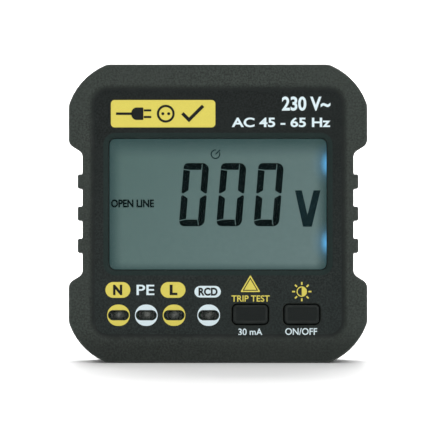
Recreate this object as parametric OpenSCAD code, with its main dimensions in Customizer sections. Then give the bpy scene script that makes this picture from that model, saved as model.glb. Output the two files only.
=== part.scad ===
// Outlet tester plug: a square hand-size socket tester that stands on its lower edge. The front (-Y) carries
// a display, four indicators and two buttons. The back (+Y) carries a round plug boss with two pins.
// Depths are measured backwards from the front plane of the rim. All sizes are in millimetres.

/* [Case] */
// Width and height of the case over its ears
case_size = 72; // [71.5:0.1:72.5]
// Depth of the case without the plug
case_depth = 30; // [29.8:0.1:32]
// Depth at which the front and rear shells meet
parting = 13; // [12.8:0.1:13.2]
// Thickness of the shell walls
wall = 2; // [1.9:0.05:2.1]
// Radius of the rounded front and back edges
edge_r = 0.5; // [0.3:0.05:0.55]
// Length of a corner cut along the top and bottom edges
corner_across = 9.3; // [9:0.1:9.6]
// Length of a corner cut along the side edges
corner_along = 9.8; // [9.5:0.1:10]
// Angle by which each corner cut bulges at its ends
corner_bulge = 22.7; // [20:0.1:24]
// Half width of the waist between the ears
waist_half_w = 32.7; // [32.4:0.1:33]
// Half height of the straight part of the waist
waist_half_h = 14.6; // [14.4:0.05:14.8]
// Half width over the grip ribs
rib_half_w = 33.85; // [33.6:0.05:34.2]
// Height of one grip rib
rib_h = 3.5; // [3.2:0.1:3.8]
// Spacing of the grip ribs
rib_pitch = 7.75; // [7.5:0.05:8]

/* [Front panel] */
// Depth of the flat panel below the rim
panel_depth = 0.8; // [0.6:0.05:1]
// Width of the flat panel
panel_w = 59.6; // [59:0.1:60]
// Height of the flat panel
panel_h = 58.8; // [58:0.1:59.2]
// Width of the slope between the rim and the panel
panel_slope = 1.6; // [1.2:0.1:1.8]

/* [Display] */
// Width of the display opening
window_w = 52.9; // [52.5:0.1:53.2]
// Height of the display opening
window_h = 32; // [31.6:0.1:32.2]
// Height of the display's centre above the lower edge
window_z = 38.3; // [38:0.1:38.6]
// Corner radius of the display opening
window_r = 1.7; // [1.4:0.1:2]
// Width of the bevel around the display opening
window_bevel = 1.2; // [1:0.1:1.3]

/* [Buttons] */
// Width of a button opening
button_w = 9; // [8.6:0.1:9.2]
// Height of a button opening
button_h = 5.2; // [5:0.1:5.4]
// Height of the buttons' centres above the lower edge
button_z = 11.7; // [11.5:0.1:11.9]
// Gap around a button
button_gap = 0.3; // [0.2:0.05:0.35]
// Travel of a button
button_travel = 0.5; // [0.4:0.05:0.5]

/* [Indicators] */
// Length of an indicator slot
slot_w = 4.6; // [4.4:0.1:4.8]
// Height of an indicator slot
slot_h = 2; // [1.8:0.1:2.2]
// Height of the indicators' centres above the lower edge
indicator_z = 11.5; // [11.3:0.1:11.7]

/* [Plug] */
// Height of the plug's axis above the lower edge
plug_z = 44.5; // [44.5:0.1:45]
// Diameter of the round plug boss
boss_d = 37.5; // [37:0.1:37.5]
// Length of the plug boss
boss_length = 17.5; // [17:0.1:18]
// Diameter of a contact pin
pin_d = 4.8; // [4.8:0.01:4.83]
// Length of a contact pin outside the boss
pin_length = 19; // [18.5:0.1:19.5]
// Distance between the pins' axes
pin_spacing = 19; // [18.9:0.1:19.1]
// Height of the earth socket above the pins' axes
earth_offset = 10; // [9.9:0.1:10.1]
// Bore of the earth socket
earth_bore_d = 4.9; // [4.85:0.01:4.95]

/* [Battery] */
// Diameter of one cell
cell_d = 10.4; // [10.2:0.1:10.4]
// Length of one cell over its positive nub
cell_length = 44.5; // [44:0.1:44.5]
// Thickness of the battery door
door_t = 1.8; // [1.6:0.1:1.8]

/* [Hidden] */
$fn = 48;
arc_step = 11;
least_r = 0.1;
recess_steps = 2;
case_z = case_size / 2;
total_depth = case_depth + boss_length + pin_length;
front_y = -total_depth / 2;

blend_r = 3.5;
bulge_r = 15.6;
ear_r = 2.1;
waist_r = 1.7;
ear_rise = 2.1;
rib_r = 0.5;
rib_root = 1.5;
rib_setback = 0.3;

front_inside = panel_depth + wall;
rear_inside = case_depth - wall;
tongue_in = 1.1;
tongue_length = 1.4;

case_screw_x = 29.8;
case_screw_rise = 27.4;
case_screw_spots = [
    for (side = [-1, 1], end = [-1, 1]) [side * case_screw_x, case_z + end * case_screw_rise]
];
case_screw_seat = 25;
case_screw_r = 1.25;
case_head_r = 2.5;
case_head_t = 1.8;
case_screw_tip = 7;
case_post_r = 3;
rear_post_r = 3.8;
board_screw_spots = [[-24, 62.5], [24, 62.5], [-14, 5.6], [14, 5.6]];
board_screw_r = 0.95;
board_head_r = 1.9;
board_head_t = 1.3;
board_screw_tip = 5.5;
board_post_r = 2.2;
thread_gap = 0.05;

bevel_depth = 0.5;
panel_z = 36.3;
panel_r = 3.4;
window_face = panel_depth + bevel_depth;
window_gap = 0.1;
flange_w = 56.8;
flange_h = 35.8;
flange_front = front_inside + 0.05;
flange_back = flange_front + 1;
glass_w = 56;
glass_front = flange_back + 0.1;
glass_t = 1.1;
glass_top = 55.3;
glass_step = 21.3;
glass_bottom = 18.9;
guide_front = glass_front + 2 * glass_t + 0.1;
guide_t = 2.4;
frame_w = 59.2;
frame_gap = 0.1;
frame_wall = 1.5;
board_front = 9;
board_t = 1.6;
notch_r = 3.5;
board_back = board_front + board_t;
backlight_spots = [["upper", 47], ["lower", 28]];

button_spots = [["rcd", 7.8], ["power", 20.2]];
button_face = 0.2;
button_r = 1;
flange_gap = 0.2;
flange_t = 0.7;
button_stem_r = 1.6;
plunger_r = 1.75;
plunger_face = 4.7;
plunger_gap = button_travel / 2 + 0.05;
plunger_bore_gap = 0.05;
switch_side = 6.2;
switch_front = 5.8;

indicator_spots = [["neutral", -24], ["earth", -17.3], ["live", -10.6], ["rcd", -2.25]];
lens_low_x = -26.7;
lens_high_x = 1.15;
lens_front = front_inside + 0.1;
lens_t = 1.2;
led_r = 1.5;
led_tip = 4.5;

boss_end = case_depth + boss_length;
boss_r = boss_d / 2;
boss_wall = 2;
boss_face_t = 3;
key_w = 5.6;
key_depth = 2.6;
clip_w = 6;
clip_t = 1;
clip_out = 17.1;
clip_recess_w = 9;
clip_recess = 15.9;
strap_back = rear_inside;
core_w = 28.4;
core_h = 28.4;
pin_r = pin_d / 2;
pin_tip_r = 1.8;
pin_root_r = 2.7;
pin_gap = 0.05;
collar_r = 4;
collar_t = 2.5;
collar_front = boss_end - boss_face_t - collar_t;
tail_r = 2;
tail_front = 34;
retainer_t = 3;
retainer_front = collar_front - retainer_t;
retainer_spots = [[8, plug_z - 9.5], [-8, plug_z + 9.5]];
retainer_screw_r = 0.85;
retainer_head_r = 1.8;
retainer_head_t = 1.3;
retainer_post_r = 2.5;
tube_r = 3.2;
tube_end = boss_end - 0.6;
tube_bore_front = tube_end - 14.9;
lead_r = 1.1;

bay_half_w = 25;
bay_bottom = 3.3;
bay_top = 24.7;
bay_floor = 17.5;
bay_wall = 1.3;
door_seat = case_depth - door_t;
door_half_w = 26;
door_bottom = 2.3;
door_top = 25.2;
door_gap = 0.15;
door_lift = 0.05;
door_ear = [28.2, 17.5];
door_ear_r = 2.9;
door_screw_r = 0.95;
door_head_r = 2;
door_head_t = 1.1;
door_screw_tip = 19;
door_post_r = 2.4;
grip_w = 14;
grip_h = 0.7;
grip_depth = 0.4;
grip_low_z = 6.5;
grip_pitch = 1.6;
cell_depth = 22.85;
cell_spots = [["lower", 8.65, 1], ["upper", 19.25, -1]];
plate_t = 0.4;
plate_half_h = 4;
dimple_t = 0.8;
dimple_r = 1.6;
nub_r = 1.9;
nub_length = 0.9;
cell_tip = bay_half_w - plate_t - dimple_t;
spring_wire_r = 0.3;
spring_turns = 3;
tail_w = 2;

// Outlines. Points run counter-clockwise as seen from the front, with x across and y up.

function unit(v) = v / norm(v);

function turned_by(v, angle) = [v.x * cos(angle) - v.y * sin(angle), v.x * sin(angle) + v.y * cos(angle)];

// Arc that rounds the corner between two straight edges
function fillet(before, at, after, radius) =
    let (
        u = unit(before - at),
        v = unit(after - at),
        half = acos(u * v) / 2,
        centre = at + unit(u + v) * radius / sin(half),
        start = at + u * radius / tan(half) - centre,
        turn = 180 - 2 * half,
        side = u.x * v.y - u.y * v.x > 0 ? -1 : 1,
        steps = ceil(turn / arc_step)
    )
    [for (k = [0:steps]) centre + turned_by(start, side * turn * k / steps)];

function flat(corner) = [corner.x, corner.y];

// Closed outline from corners given as [x, y, radius]
function rounded(corners) =
    let (count = len(corners))
    [for (i = [0:count - 1])
        each fillet(
            flat(corners[(i + count - 1) % count]),
            flat(corners[i]),
            flat(corners[(i + 1) % count]),
            corners[i].z
        )
    ];

function edge_normal(from, to) = let (d = unit(to - from)) [d.y, -d.x];

// The same corners moved inwards by a distance. Each arc stays parallel to the first as far as it has room.
function moved_in(corners, distance) =
    let (count = len(corners))
    [for (i = [0:count - 1])
        let (
            at = flat(corners[i]),
            before = edge_normal(flat(corners[(i + count - 1) % count]), at),
            after = edge_normal(at, flat(corners[(i + 1) % count])),
            sum = before + after,
            bend = before.x * after.y - before.y * after.x > 0 ? 1 : -1,
            moved = at - sum * 2 * distance / (sum * sum)
        )
        [moved.x, moved.y, max(corners[i].z - bend * distance, least_r)]
    ];

function rounded_rect(w, h, r) =
    rounded([[w / 2, -h / 2, r], [w / 2, h / 2, r], [-w / 2, h / 2, r], [-w / 2, -h / 2, r]]);

function reversed(list) = [for (i = [len(list) - 1:-1:0]) list[i]];

function mirrored(corners, across, up) =
    [for (c = corners) [c.x * across, c.y * up, c.z]];

corner_low = [case_z, case_z - corner_along];
corner_high = [case_z - corner_across, case_z];
corner_chord = corner_high - corner_low;
corner_mid = (corner_low + corner_high) / 2
    + edge_normal(corner_low, corner_high) * norm(corner_chord) / 2 * tan(corner_bulge);

quarter = [
    [waist_half_w, waist_half_h, waist_r],
    [case_z, waist_half_h + ear_rise, ear_r],
    [corner_low.x, corner_low.y, blend_r],
    [corner_mid.x, corner_mid.y, bulge_r],
    [corner_high.x, corner_high.y, blend_r]
];

upper_half = concat(quarter, reversed(mirrored(quarter, -1, 1)));
lower_half = concat(mirrored(quarter, -1, -1), reversed(mirrored(quarter, 1, -1)));
case_corners = concat(upper_half, lower_half);

function case_outline(inwards) = rounded(moved_in(case_corners, inwards));

// Building blocks

// A flat shape drawn as seen from the front, filled between two depths
module layer(from, to) {
    translate([0, front_y + to, 0]) rotate([90, 0, 0]) linear_extrude(to - from) children();
}

// The same, with the drawing's origin at the case's centre
module case_layer(from, to) {
    layer(from, to) translate([0, case_z]) children();
}

module rod(spot, from, to, r) {
    layer(from, to) translate(spot) circle(r = r);
}

module block(low, high, from, to) {
    layer(from, to) translate(low) square(high - low);
}

// A shape turned about a front-to-back axis, drawn as [radius, depth]
module turned(spot) {
    translate([spot.x, front_y, spot.y]) rotate([-90, 0, 0]) rotate_extrude() children();
}

// Half profile of a rod with a rounded far end
module round_end(r, from, to, tip) {
    intersection() {
        union() {
            translate([0, from]) square([r, to - tip - from]);
            translate([0, from]) square([r - tip, to - from]);
            translate([r - tip, to - tip]) circle(r = tip);
        }
        translate([0, from]) square([r, to - from]);
    }
}

// A shallow recess that narrows towards its floor in even steps
module stepped_recess(w, h, r, z, top, bottom, flare) {
    step = (bottom - top) / recess_steps;
    for (k = [0:recess_steps - 1]) {
        grow = flare * (1 - (k + 0.5) / recess_steps);
        layer(top - 0.1, top + step * (k + 1)) translate([0, z])
            polygon(rounded_rect(w + 2 * grow, h + 2 * grow, r + grow));
    }
}

// The case's solid outer shape between two depths, with a small step in place of its rounded edge
module case_solid(from, to, front_step, back_step) {
    case_layer(from + front_step, to - back_step) polygon(case_outline(0));
    case_layer(from, to) polygon(case_outline(edge_r / 2));
}

// Grip ribs along both sides of the waist
module grip_ribs(from, to) {
    for (side = [-1, 1], k = [-1:1])
        case_layer(from, to) translate([side * (rib_half_w - rib_root), k * rib_pitch])
            polygon(rounded_rect(2 * rib_root, rib_h, rib_r));
}

// Shells

module front_shell() {
    color("#40433f") difference() {
        union() {
            difference() {
                union() {
                    case_solid(0, parting, edge_r / 2, 0);
                    grip_ribs(rib_setback, parting);
                }
                case_layer(front_inside, parting + 1) polygon(case_outline(wall));
                case_layer(parting - tongue_length - 0.1, parting + 1) polygon(case_outline(tongue_in - 0.1));
            }
            for (spot = case_screw_spots) rod(spot, front_inside - 0.5, parting, case_post_r);
            for (spot = board_screw_spots) rod(spot, front_inside - 0.5, board_front, board_post_r);
        }
        stepped_recess(panel_w, panel_h, panel_r, panel_z, 0, panel_depth, panel_slope);
        stepped_recess(window_w, window_h, window_r, window_z, panel_depth, window_face, window_bevel);
        layer(window_face - 0.1, front_inside + 0.1) translate([0, window_z])
            polygon(rounded_rect(window_w, window_h, window_r));
        for (spot = button_spots)
            layer(0, front_inside + 0.1) translate([spot[1], button_z])
                polygon(rounded_rect(button_w, button_h, button_r + button_gap));
        for (spot = indicator_spots)
            layer(0, front_inside + 0.1) translate([spot[1], indicator_z]) stadium(slot_w, slot_h);
        for (spot = case_screw_spots) rod(spot, case_screw_tip - 1, parting + 1, case_screw_r + thread_gap);
        for (spot = board_screw_spots)
            rod(spot, board_screw_tip - 0.5, board_front + 1, board_screw_r + thread_gap);
    }
}

module stadium(w, h) {
    square([w - h, h], center = true);
    for (side = [-1, 1]) translate([side * (w - h) / 2, 0]) circle(r = h / 2);
}

module plug_boss() {
    turned([0, plug_z]) round_end(boss_r, rear_inside, boss_end, 1);
}

// Space inside the boss, kept narrow enough to leave a wall under the key grooves and clip recesses
module boss_core() {
    layer(rear_inside - 1, boss_end - boss_face_t) translate([0, plug_z]) intersection() {
        circle(r = boss_r - boss_wall);
        square([core_w, core_h], center = true);
    }
}

module boss_grooves() {
    for (side = [-1, 1]) {
        layer(case_depth, boss_end + 1)
            translate([side * (boss_r - key_depth + 2), plug_z]) square([4, key_w], center = true);
        layer(case_depth, boss_end + 1)
            translate([0, plug_z + side * (clip_recess + 2)]) square([clip_recess_w, 4], center = true);
        layer(rear_inside - 0.5, case_depth + 0.5)
            translate([0, plug_z + side * (clip_out - clip_t / 2)])
                square([clip_w + 0.2, clip_t + 0.2], center = true);
    }
}

module door_outline(grow) {
    translate([0, (door_bottom + door_top) / 2])
        polygon(rounded_rect(2 * door_half_w + 2 * grow, door_top - door_bottom + 2 * grow, 1));
    for (side = [-1, 1]) {
        translate([side * door_ear.x, door_ear.y]) circle(r = door_ear_r + grow);
        translate([side * (door_half_w + door_ear.x) / 2, door_ear.y])
            square([door_ear.x - door_half_w + 2, 2 * door_ear_r + 2 * grow], center = true);
    }
}

module rear_posts() {
    for (spot = case_screw_spots) rod(spot, parting + 0.05, case_depth - 0.5, rear_post_r);
    for (side = [-1, 1]) rod([side * door_ear.x, door_ear.y], bay_floor - bay_wall, door_seat, door_post_r);
    for (spot = retainer_spots) rod(spot, collar_front, boss_end - 1, retainer_post_r);
}

module battery_bay() {
    block(
        [-bay_half_w - bay_wall, wall - 0.5], [bay_half_w + bay_wall, bay_top + bay_wall],
        bay_floor - bay_wall, door_seat
    );
}

module rear_shell() {
    color("#40433f") difference() {
        union() {
            difference() {
                union() {
                    case_solid(parting, case_depth, 0, edge_r / 2);
                    grip_ribs(parting, case_depth - rib_setback);
                    plug_boss();
                }
                case_layer(parting - 1, rear_inside) polygon(case_outline(wall));
                boss_core();
            }
            case_layer(parting - tongue_length, parting + 0.2) difference() {
                polygon(case_outline(tongue_in));
                polygon(case_outline(wall));
            }
            rear_posts();
            battery_bay();
        }
        boss_grooves();
        block([-bay_half_w, bay_bottom], [bay_half_w, bay_top], bay_floor, case_depth + 1);
        layer(door_seat, case_depth + 1) door_outline(door_gap);
        for (side = [-1, 1])
            rod([side * door_ear.x, door_ear.y], door_screw_tip - 1, case_depth, door_screw_r + thread_gap);
        for (side = [-1, 1])
            rod([side * pin_spacing / 2, plug_z], collar_front, boss_end + 1, pin_root_r + pin_gap);
        rod([0, plug_z + earth_offset], collar_front, boss_end + 1, tube_r + pin_gap);
        for (spot = case_screw_spots) {
            rod(spot, parting - 1, case_depth + 1, case_screw_r + 0.35);
            rod(spot, case_screw_seat, case_depth + 1, case_head_r + 0.2);
        }
        for (spot = retainer_spots)
            rod(spot, collar_front - 1, boss_end - 1.5, retainer_screw_r + thread_gap);
        for (cell = cell_spots)
            block(
                [bay_half_w - plate_t - 0.1, cell[1] - tail_w / 2 - 0.1],
                [bay_half_w, cell[1] + tail_w / 2 + 0.1],
                bay_floor - bay_wall - 1, bay_floor + 1
            );
    }
}

// Display

module display_window() {
    color("#9fb4b4") {
        layer(window_face, flange_front + 0.1) translate([0, window_z]) polygon(
            rounded_rect(window_w - 2 * window_gap, window_h - 2 * window_gap, window_r - window_gap)
        );
        layer(flange_front, flange_back) translate([0, window_z])
            polygon(rounded_rect(flange_w, flange_h, 1));
    }
}

module lcd_glass() {
    color("#7b9494") {
        block([-glass_w / 2, glass_bottom], [glass_w / 2, glass_top], glass_front, glass_front + glass_t);
        block(
            [-glass_w / 2, glass_step], [glass_w / 2, glass_top],
            glass_front + glass_t, glass_front + 2 * glass_t
        );
    }
}

module light_guide() {
    color("#dfe8ea")
        block([-glass_w / 2, glass_step], [glass_w / 2, glass_top], guide_front, guide_front + guide_t);
}

module backlight_led(z) {
    color("#f2f2e6")
        block([glass_w / 2 + 0.15, z - 1.5], [glass_w / 2 + 1.45, z + 1.5], guide_front, board_front);
}

module lcd_frame() {
    inner_w = glass_w + 2 * frame_gap;
    low = glass_bottom - frame_gap;
    high = glass_top + frame_gap;
    color("#e8e8e2") difference() {
        block([-frame_w / 2, low - frame_wall], [frame_w / 2, high + frame_wall], glass_front, board_front);
        block([-inner_w / 2, low], [inner_w / 2, high], glass_front - 1, board_front + 1);
        for (spot = backlight_spots)
            block(
                [glass_w / 2, spot[1] - 1.6], [frame_w / 2 + 1, spot[1] + 1.6],
                guide_front - 0.1, board_front + 1
            );
    }
}

module contact_strip() {
    color("#d88fa0")
        block([-25, glass_bottom + 0.1], [25, glass_step - 0.5], glass_front + glass_t, board_front);
}

// Board and what it carries

// The board's corners are cut away around the case's screw posts
module board_notch(spot) {
    outwards = atan2(spot.y - case_z, spot.x);
    translate(spot) {
        circle(r = notch_r);
        rotate(outwards) translate([0, -notch_r]) square([2 * notch_r, 2 * notch_r]);
    }
}

module circuit_board() {
    color("#1f6b3a") difference() {
        case_layer(board_front, board_back) polygon(case_outline(wall + 0.5));
        for (spot = case_screw_spots) layer(board_front - 1, board_back + 1) board_notch(spot);
        for (spot = board_screw_spots) rod(spot, board_front - 1, board_back + 1, board_screw_r + 0.2);
    }
}

module indicator_lens() {
    color("#dfe6e6") {
        block(
            [lens_low_x, indicator_z - 2.7], [lens_high_x, indicator_z + 2.7],
            lens_front, lens_front + lens_t
        );
        for (spot = indicator_spots)
            layer(panel_depth + 0.3, lens_front + 0.1) translate([spot[1], indicator_z])
                stadium(slot_w - 0.2, slot_h - 0.2);
    }
}

module indicator_led(x) {
    color("#e7efe6") {
        rod([x, indicator_z], led_tip + led_r, board_front - 1, led_r);
        translate([x, front_y + led_tip + led_r, indicator_z]) sphere(r = led_r);
        rod([x, indicator_z], board_front - 1, board_front, led_r + 0.4);
    }
}

module button_cap(x) {
    stem_end = plunger_face - plunger_gap;
    flange_front_d = front_inside + flange_gap;
    color("#2e302e") {
        layer(button_face, flange_front_d + 0.1) translate([x, button_z])
            polygon(rounded_rect(button_w - 2 * button_gap, button_h - 2 * button_gap, button_r));
        layer(flange_front_d, flange_front_d + flange_t) translate([x, button_z])
            polygon(rounded_rect(button_w + 1.6, button_h + 1.8, button_r));
        rod([x, button_z], flange_front_d + flange_t, stem_end, button_stem_r);
    }
}

module push_switch(x) {
    color("#6f7378") difference() {
        layer(switch_front, board_front) translate([x, button_z]) square(switch_side, center = true);
        rod([x, button_z], switch_front - 1, board_front - 0.2, plunger_r + plunger_bore_gap);
    }
}

module switch_plunger(x) {
    color("#26282a") rod([x, button_z], plunger_face, board_front - 0.7, plunger_r);
}

module controller_chip() {
    chip = [14, 57];
    color("#202224") {
        layer(board_back + 0.15, board_back + 1.6) translate(chip) square(10, center = true);
        for (side = [-1, 1], k = [-4:4])
            layer(board_back, board_back + 0.6) translate(chip) {
                translate([side * 5.4, k]) square([1.4, 0.4], center = true);
                translate([k, side * 5.4]) square([0.4, 1.4], center = true);
            }
    }
}

module test_triac() {
    spot = [-15, 56];
    color("#2a2a2c") {
        layer(board_back + 1.3, board_back + 5.8) translate(spot) square([10, 9], center = true);
        for (k = [-1:1])
            block(
                spot + [k * 2.54 - 0.4, -8], spot + [k * 2.54 + 0.4, -4.4],
                board_back + 2.5, board_back + 3
            );
        for (k = [-1:1])
            block(spot + [k * 2.54 - 0.4, -8], spot + [k * 2.54 + 0.4, -7.5], board_back, board_back + 3);
    }
    color("#b9bcc0") difference() {
        layer(board_back, board_back + 1.3) translate(spot + [0, 2.5]) square([10, 14], center = true);
        rod(spot + [0, 6.5], board_back - 1, board_back + 3, 1.6);
    }
}

module load_resistor(x) {
    axis_depth = board_back + 2.7;
    low_z = 32;
    color("#7f9fb0") {
        translate([x - 7, front_y + axis_depth, low_z]) rotate([0, 90, 0]) cylinder(h = 14, r = 2.5);
        translate([x - 9, front_y + axis_depth, low_z]) rotate([0, 90, 0]) cylinder(h = 18, r = 0.35);
        for (side = [-1, 1]) rod([x + side * 8.6, low_z], board_back, axis_depth, 0.35);
    }
}

// Plug

module contact_pin(side) {
    color("#c9a24a") turned([side * pin_spacing / 2, plug_z]) {
        round_end(pin_r, collar_front, boss_end + pin_length, pin_tip_r);
        translate([0, collar_front]) square([pin_root_r, boss_end - collar_front]);
        translate([0, collar_front]) square([collar_r, collar_t]);
        translate([0, tail_front]) square([tail_r, collar_front - tail_front + 0.1]);
    }
}

module earth_strap() {
    color("#d3c07a") {
        layer(strap_back - clip_t, strap_back)
            translate([0, plug_z]) square([clip_w, 2 * clip_out], center = true);
        for (side = [-1, 1])
            layer(strap_back - 0.1, boss_end - 1)
                translate([0, plug_z + side * (clip_out - clip_t / 2)])
                    square([clip_w, clip_t], center = true);
    }
}

module earth_socket() {
    color("#c9a24a") difference() {
        rod([0, plug_z + earth_offset], strap_back, tube_end, tube_r);
        rod([0, plug_z + earth_offset], tube_bore_front, tube_end + 1, earth_bore_d / 2);
    }
}

module pin_retainer() {
    color("#e4e2d8") difference() {
        layer(retainer_front, collar_front) translate([0, plug_z]) intersection() {
            circle(r = boss_r - boss_wall - 0.4);
            square([core_w - 0.6, core_h - 0.6], center = true);
        }
        for (side = [-1, 1])
            rod([side * pin_spacing / 2, plug_z], retainer_front - 1, collar_front + 1, tail_r + 0.1);
        rod([0, plug_z + earth_offset], retainer_front - 1, collar_front + 1, tube_r + 0.1);
        for (spot = retainer_spots) rod(spot, retainer_front - 1, collar_front + 1, 1);
    }
}

module lead(spot, to) {
    rod(spot, board_back, to, lead_r);
}

// Fasteners

// A screw whose head sits behind its seat, with a cross recess
module screw(spot, tip, seat, r, head_r, head_t) {
    difference() {
        union() {
            rod(spot, tip, seat + 0.1, r);
            rod(spot, seat, seat + head_t, head_r);
        }
        for (turn = [0, 90])
            layer(seat + head_t * 0.45, seat + head_t + 1) translate(spot) rotate(turn)
                square([head_r * 1.2, head_r * 0.3], center = true);
    }
}

module retainer_screws() {
    color("#b8bbbe") for (spot = retainer_spots)
        screw_from_front(
            spot, boss_end - 2, retainer_front, retainer_screw_r, retainer_head_r, retainer_head_t
        );
}

// A screw whose head sits in front of its seat
module screw_from_front(spot, tip, seat, r, head_r, head_t) {
    rod(spot, seat - 0.1, tip, r);
    rod(spot, seat - head_t, seat, head_r);
}

module case_screws() {
    color("#8d9094") for (spot = case_screw_spots)
        screw(spot, case_screw_tip, case_screw_seat, case_screw_r, case_head_r, case_head_t);
}

module board_screws() {
    color("#b8bbbe") for (spot = board_screw_spots)
        screw(spot, board_screw_tip, board_back, board_screw_r, board_head_r, board_head_t);
}

// Battery

module cell(z, direction) {
    start = direction * (cell_tip - cell_length);
    color("#c9ccd0")
        translate([start, front_y + cell_depth, z]) rotate([0, direction * 90, 0]) rotate_extrude() {
            round_end(cell_d / 2, 0, cell_length - nub_length, 0.5);
            round_end(nub_r, 0, cell_length, 0.3);
        }
}

// Flat contact plate on a side wall of the bay
module contact_plate(side, low_z, high_z) {
    block(
        [side > 0 ? bay_half_w - plate_t : -bay_half_w, low_z],
        [side > 0 ? bay_half_w : plate_t - bay_half_w, high_z],
        bay_floor + 0.5, door_seat - 0.5
    );
}

// Raised dimple that meets a cell's positive nub
module contact_dimple(side, z) {
    translate([side * cell_tip, front_y + cell_depth, z]) rotate([0, side * 90, 0])
        cylinder(h = dimple_t + plate_t / 2, r = dimple_r);
}

module contact_tail(z) {
    block(
        [bay_half_w - plate_t, z - tail_w / 2], [bay_half_w, z + tail_w / 2], board_back, bay_floor + 1
    );
}

module contact_bridge() {
    color("#d9dcdf") {
        contact_plate(-1, cell_spots[0][1] - plate_half_h, cell_spots[1][1] + plate_half_h);
        contact_dimple(-1, cell_spots[1][1]);
    }
}

module contact_positive() {
    z = cell_spots[0][1];
    color("#d9dcdf") {
        contact_plate(1, z - plate_half_h, z + plate_half_h);
        contact_dimple(1, z);
        contact_tail(z);
    }
}

module contact_negative() {
    z = cell_spots[1][1];
    color("#d9dcdf") {
        contact_plate(1, z - plate_half_h, z + plate_half_h);
        contact_tail(z);
    }
}

// Conical coil spring from its plate to the flat end of a cell
module cell_spring(z, direction) {
    per_turn = 14;
    sides = 8;
    rings = spring_turns * per_turn;
    wide_r = 3.6;
    narrow_r = 2.4;
    plate_x = bay_half_w - plate_t;
    length = plate_x - (cell_length - cell_tip) - 2 * spring_wire_r;
    points = [for (k = [0:rings], j = [0:sides - 1])
        let (
            along = k / rings,
            turn = 360 * k / per_turn,
            out = wide_r + (narrow_r - wide_r) * along + spring_wire_r * cos(360 * j / sides),
            rise = spring_wire_r + length * along + spring_wire_r * sin(360 * j / sides)
        )
        [out * cos(turn), out * sin(turn), rise]
    ];
    faces = concat(
        [[for (j = [0:sides - 1]) j]],
        [for (k = [0:rings - 1], j = [0:sides - 1])
            let (
                near = k * sides,
                far = near + sides,
                next = (j + 1) % sides
            )
            [near + j, far + j, far + next, near + next]
        ],
        [[for (j = [sides - 1:-1:0]) rings * sides + j]]
    );
    color("#c4c7ca")
        translate([-direction * plate_x, front_y + cell_depth, z]) rotate([0, direction * 90, 0])
            polyhedron(points, faces);
}

module battery_door() {
    color("#40433f") difference() {
        layer(door_seat + door_lift, case_depth) door_outline(0);
        for (side = [-1, 1]) {
            rod([side * door_ear.x, door_ear.y], door_seat - 1, case_depth + 1, door_screw_r + 0.15);
            rod([side * door_ear.x, door_ear.y], case_depth - door_head_t, case_depth + 1, door_head_r + 0.1);
        }
        for (k = [-2:2])
            layer(case_depth - grip_depth, case_depth + 1) translate([0, grip_low_z + grip_pitch * (k + 2)])
                square([grip_w, grip_h], center = true);
    }
}

module door_screws() {
    color("#b8bbbe") for (side = [-1, 1])
        screw(
            [side * door_ear.x, door_ear.y], door_screw_tip, case_depth - door_head_t,
            door_screw_r, door_head_r, door_head_t - 0.1
        );
}

front_shell();
rear_shell();
display_window();
lcd_glass();
light_guide();
for (spot = backlight_spots)
    backlight_led(spot[1]);
lcd_frame();
contact_strip();
circuit_board();
indicator_lens();
for (spot = indicator_spots)
    indicator_led(spot[1]);
for (spot = button_spots) {
    button_cap(spot[1]);
    push_switch(spot[1]);
    switch_plunger(spot[1]);
}
controller_chip();
test_triac();
load_resistor(-20);  // load_resistor_left
load_resistor(20);  // load_resistor_right
contact_pin(1);  // live_pin
contact_pin(-1);  // neutral_pin
earth_strap();
earth_socket();
pin_retainer();
retainer_screws();
color("#7a4a2a") lead([pin_spacing / 2, plug_z], tail_front);  // live_lead
color("#2f5fb0") lead([-pin_spacing / 2, plug_z], tail_front);  // neutral_lead
color("#7fa53a") lead([0, plug_z], strap_back - clip_t);  // earth_lead
for (spot = cell_spots) {
    cell(spot[1], spot[2]);
    cell_spring(spot[1], spot[2]);
}
contact_bridge();
contact_positive();
contact_negative();
battery_door();
door_screws();
case_screws();
board_screws();
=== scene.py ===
# Looks of the outlet tester plug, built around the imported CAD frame.
# Shapes are drawn in millimetres as seen from the front: x to the right, z up, depth backwards from the rim.

import math
from functools import partial

import bmesh
import bpy
from mathutils import Matrix, Vector


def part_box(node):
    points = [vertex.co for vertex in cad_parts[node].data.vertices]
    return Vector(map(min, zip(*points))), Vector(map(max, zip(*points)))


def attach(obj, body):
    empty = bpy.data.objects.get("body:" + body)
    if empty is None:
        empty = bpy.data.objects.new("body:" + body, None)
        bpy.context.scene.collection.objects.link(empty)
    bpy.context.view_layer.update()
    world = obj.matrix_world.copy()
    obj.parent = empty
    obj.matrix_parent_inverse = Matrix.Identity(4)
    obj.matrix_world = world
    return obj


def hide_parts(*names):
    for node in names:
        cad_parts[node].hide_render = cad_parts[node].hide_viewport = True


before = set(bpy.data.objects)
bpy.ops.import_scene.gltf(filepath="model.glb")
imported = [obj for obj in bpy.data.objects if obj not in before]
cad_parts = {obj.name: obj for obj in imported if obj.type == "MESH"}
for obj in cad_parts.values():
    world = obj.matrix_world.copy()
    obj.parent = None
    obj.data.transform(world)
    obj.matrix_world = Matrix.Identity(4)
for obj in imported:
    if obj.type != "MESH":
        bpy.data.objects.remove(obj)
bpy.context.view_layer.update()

MM = 0.001
SHELL_LOW, SHELL_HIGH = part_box("front_shell")
FRONT_Y = SHELL_LOW.y / MM
HALF = SHELL_HIGH.x / MM
MID_Z = (SHELL_LOW.z + SHELL_HIGH.z) / 2 / MM

# A size is its width, height and corner radius. A notch is its half width and the distance of its floor.

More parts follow.
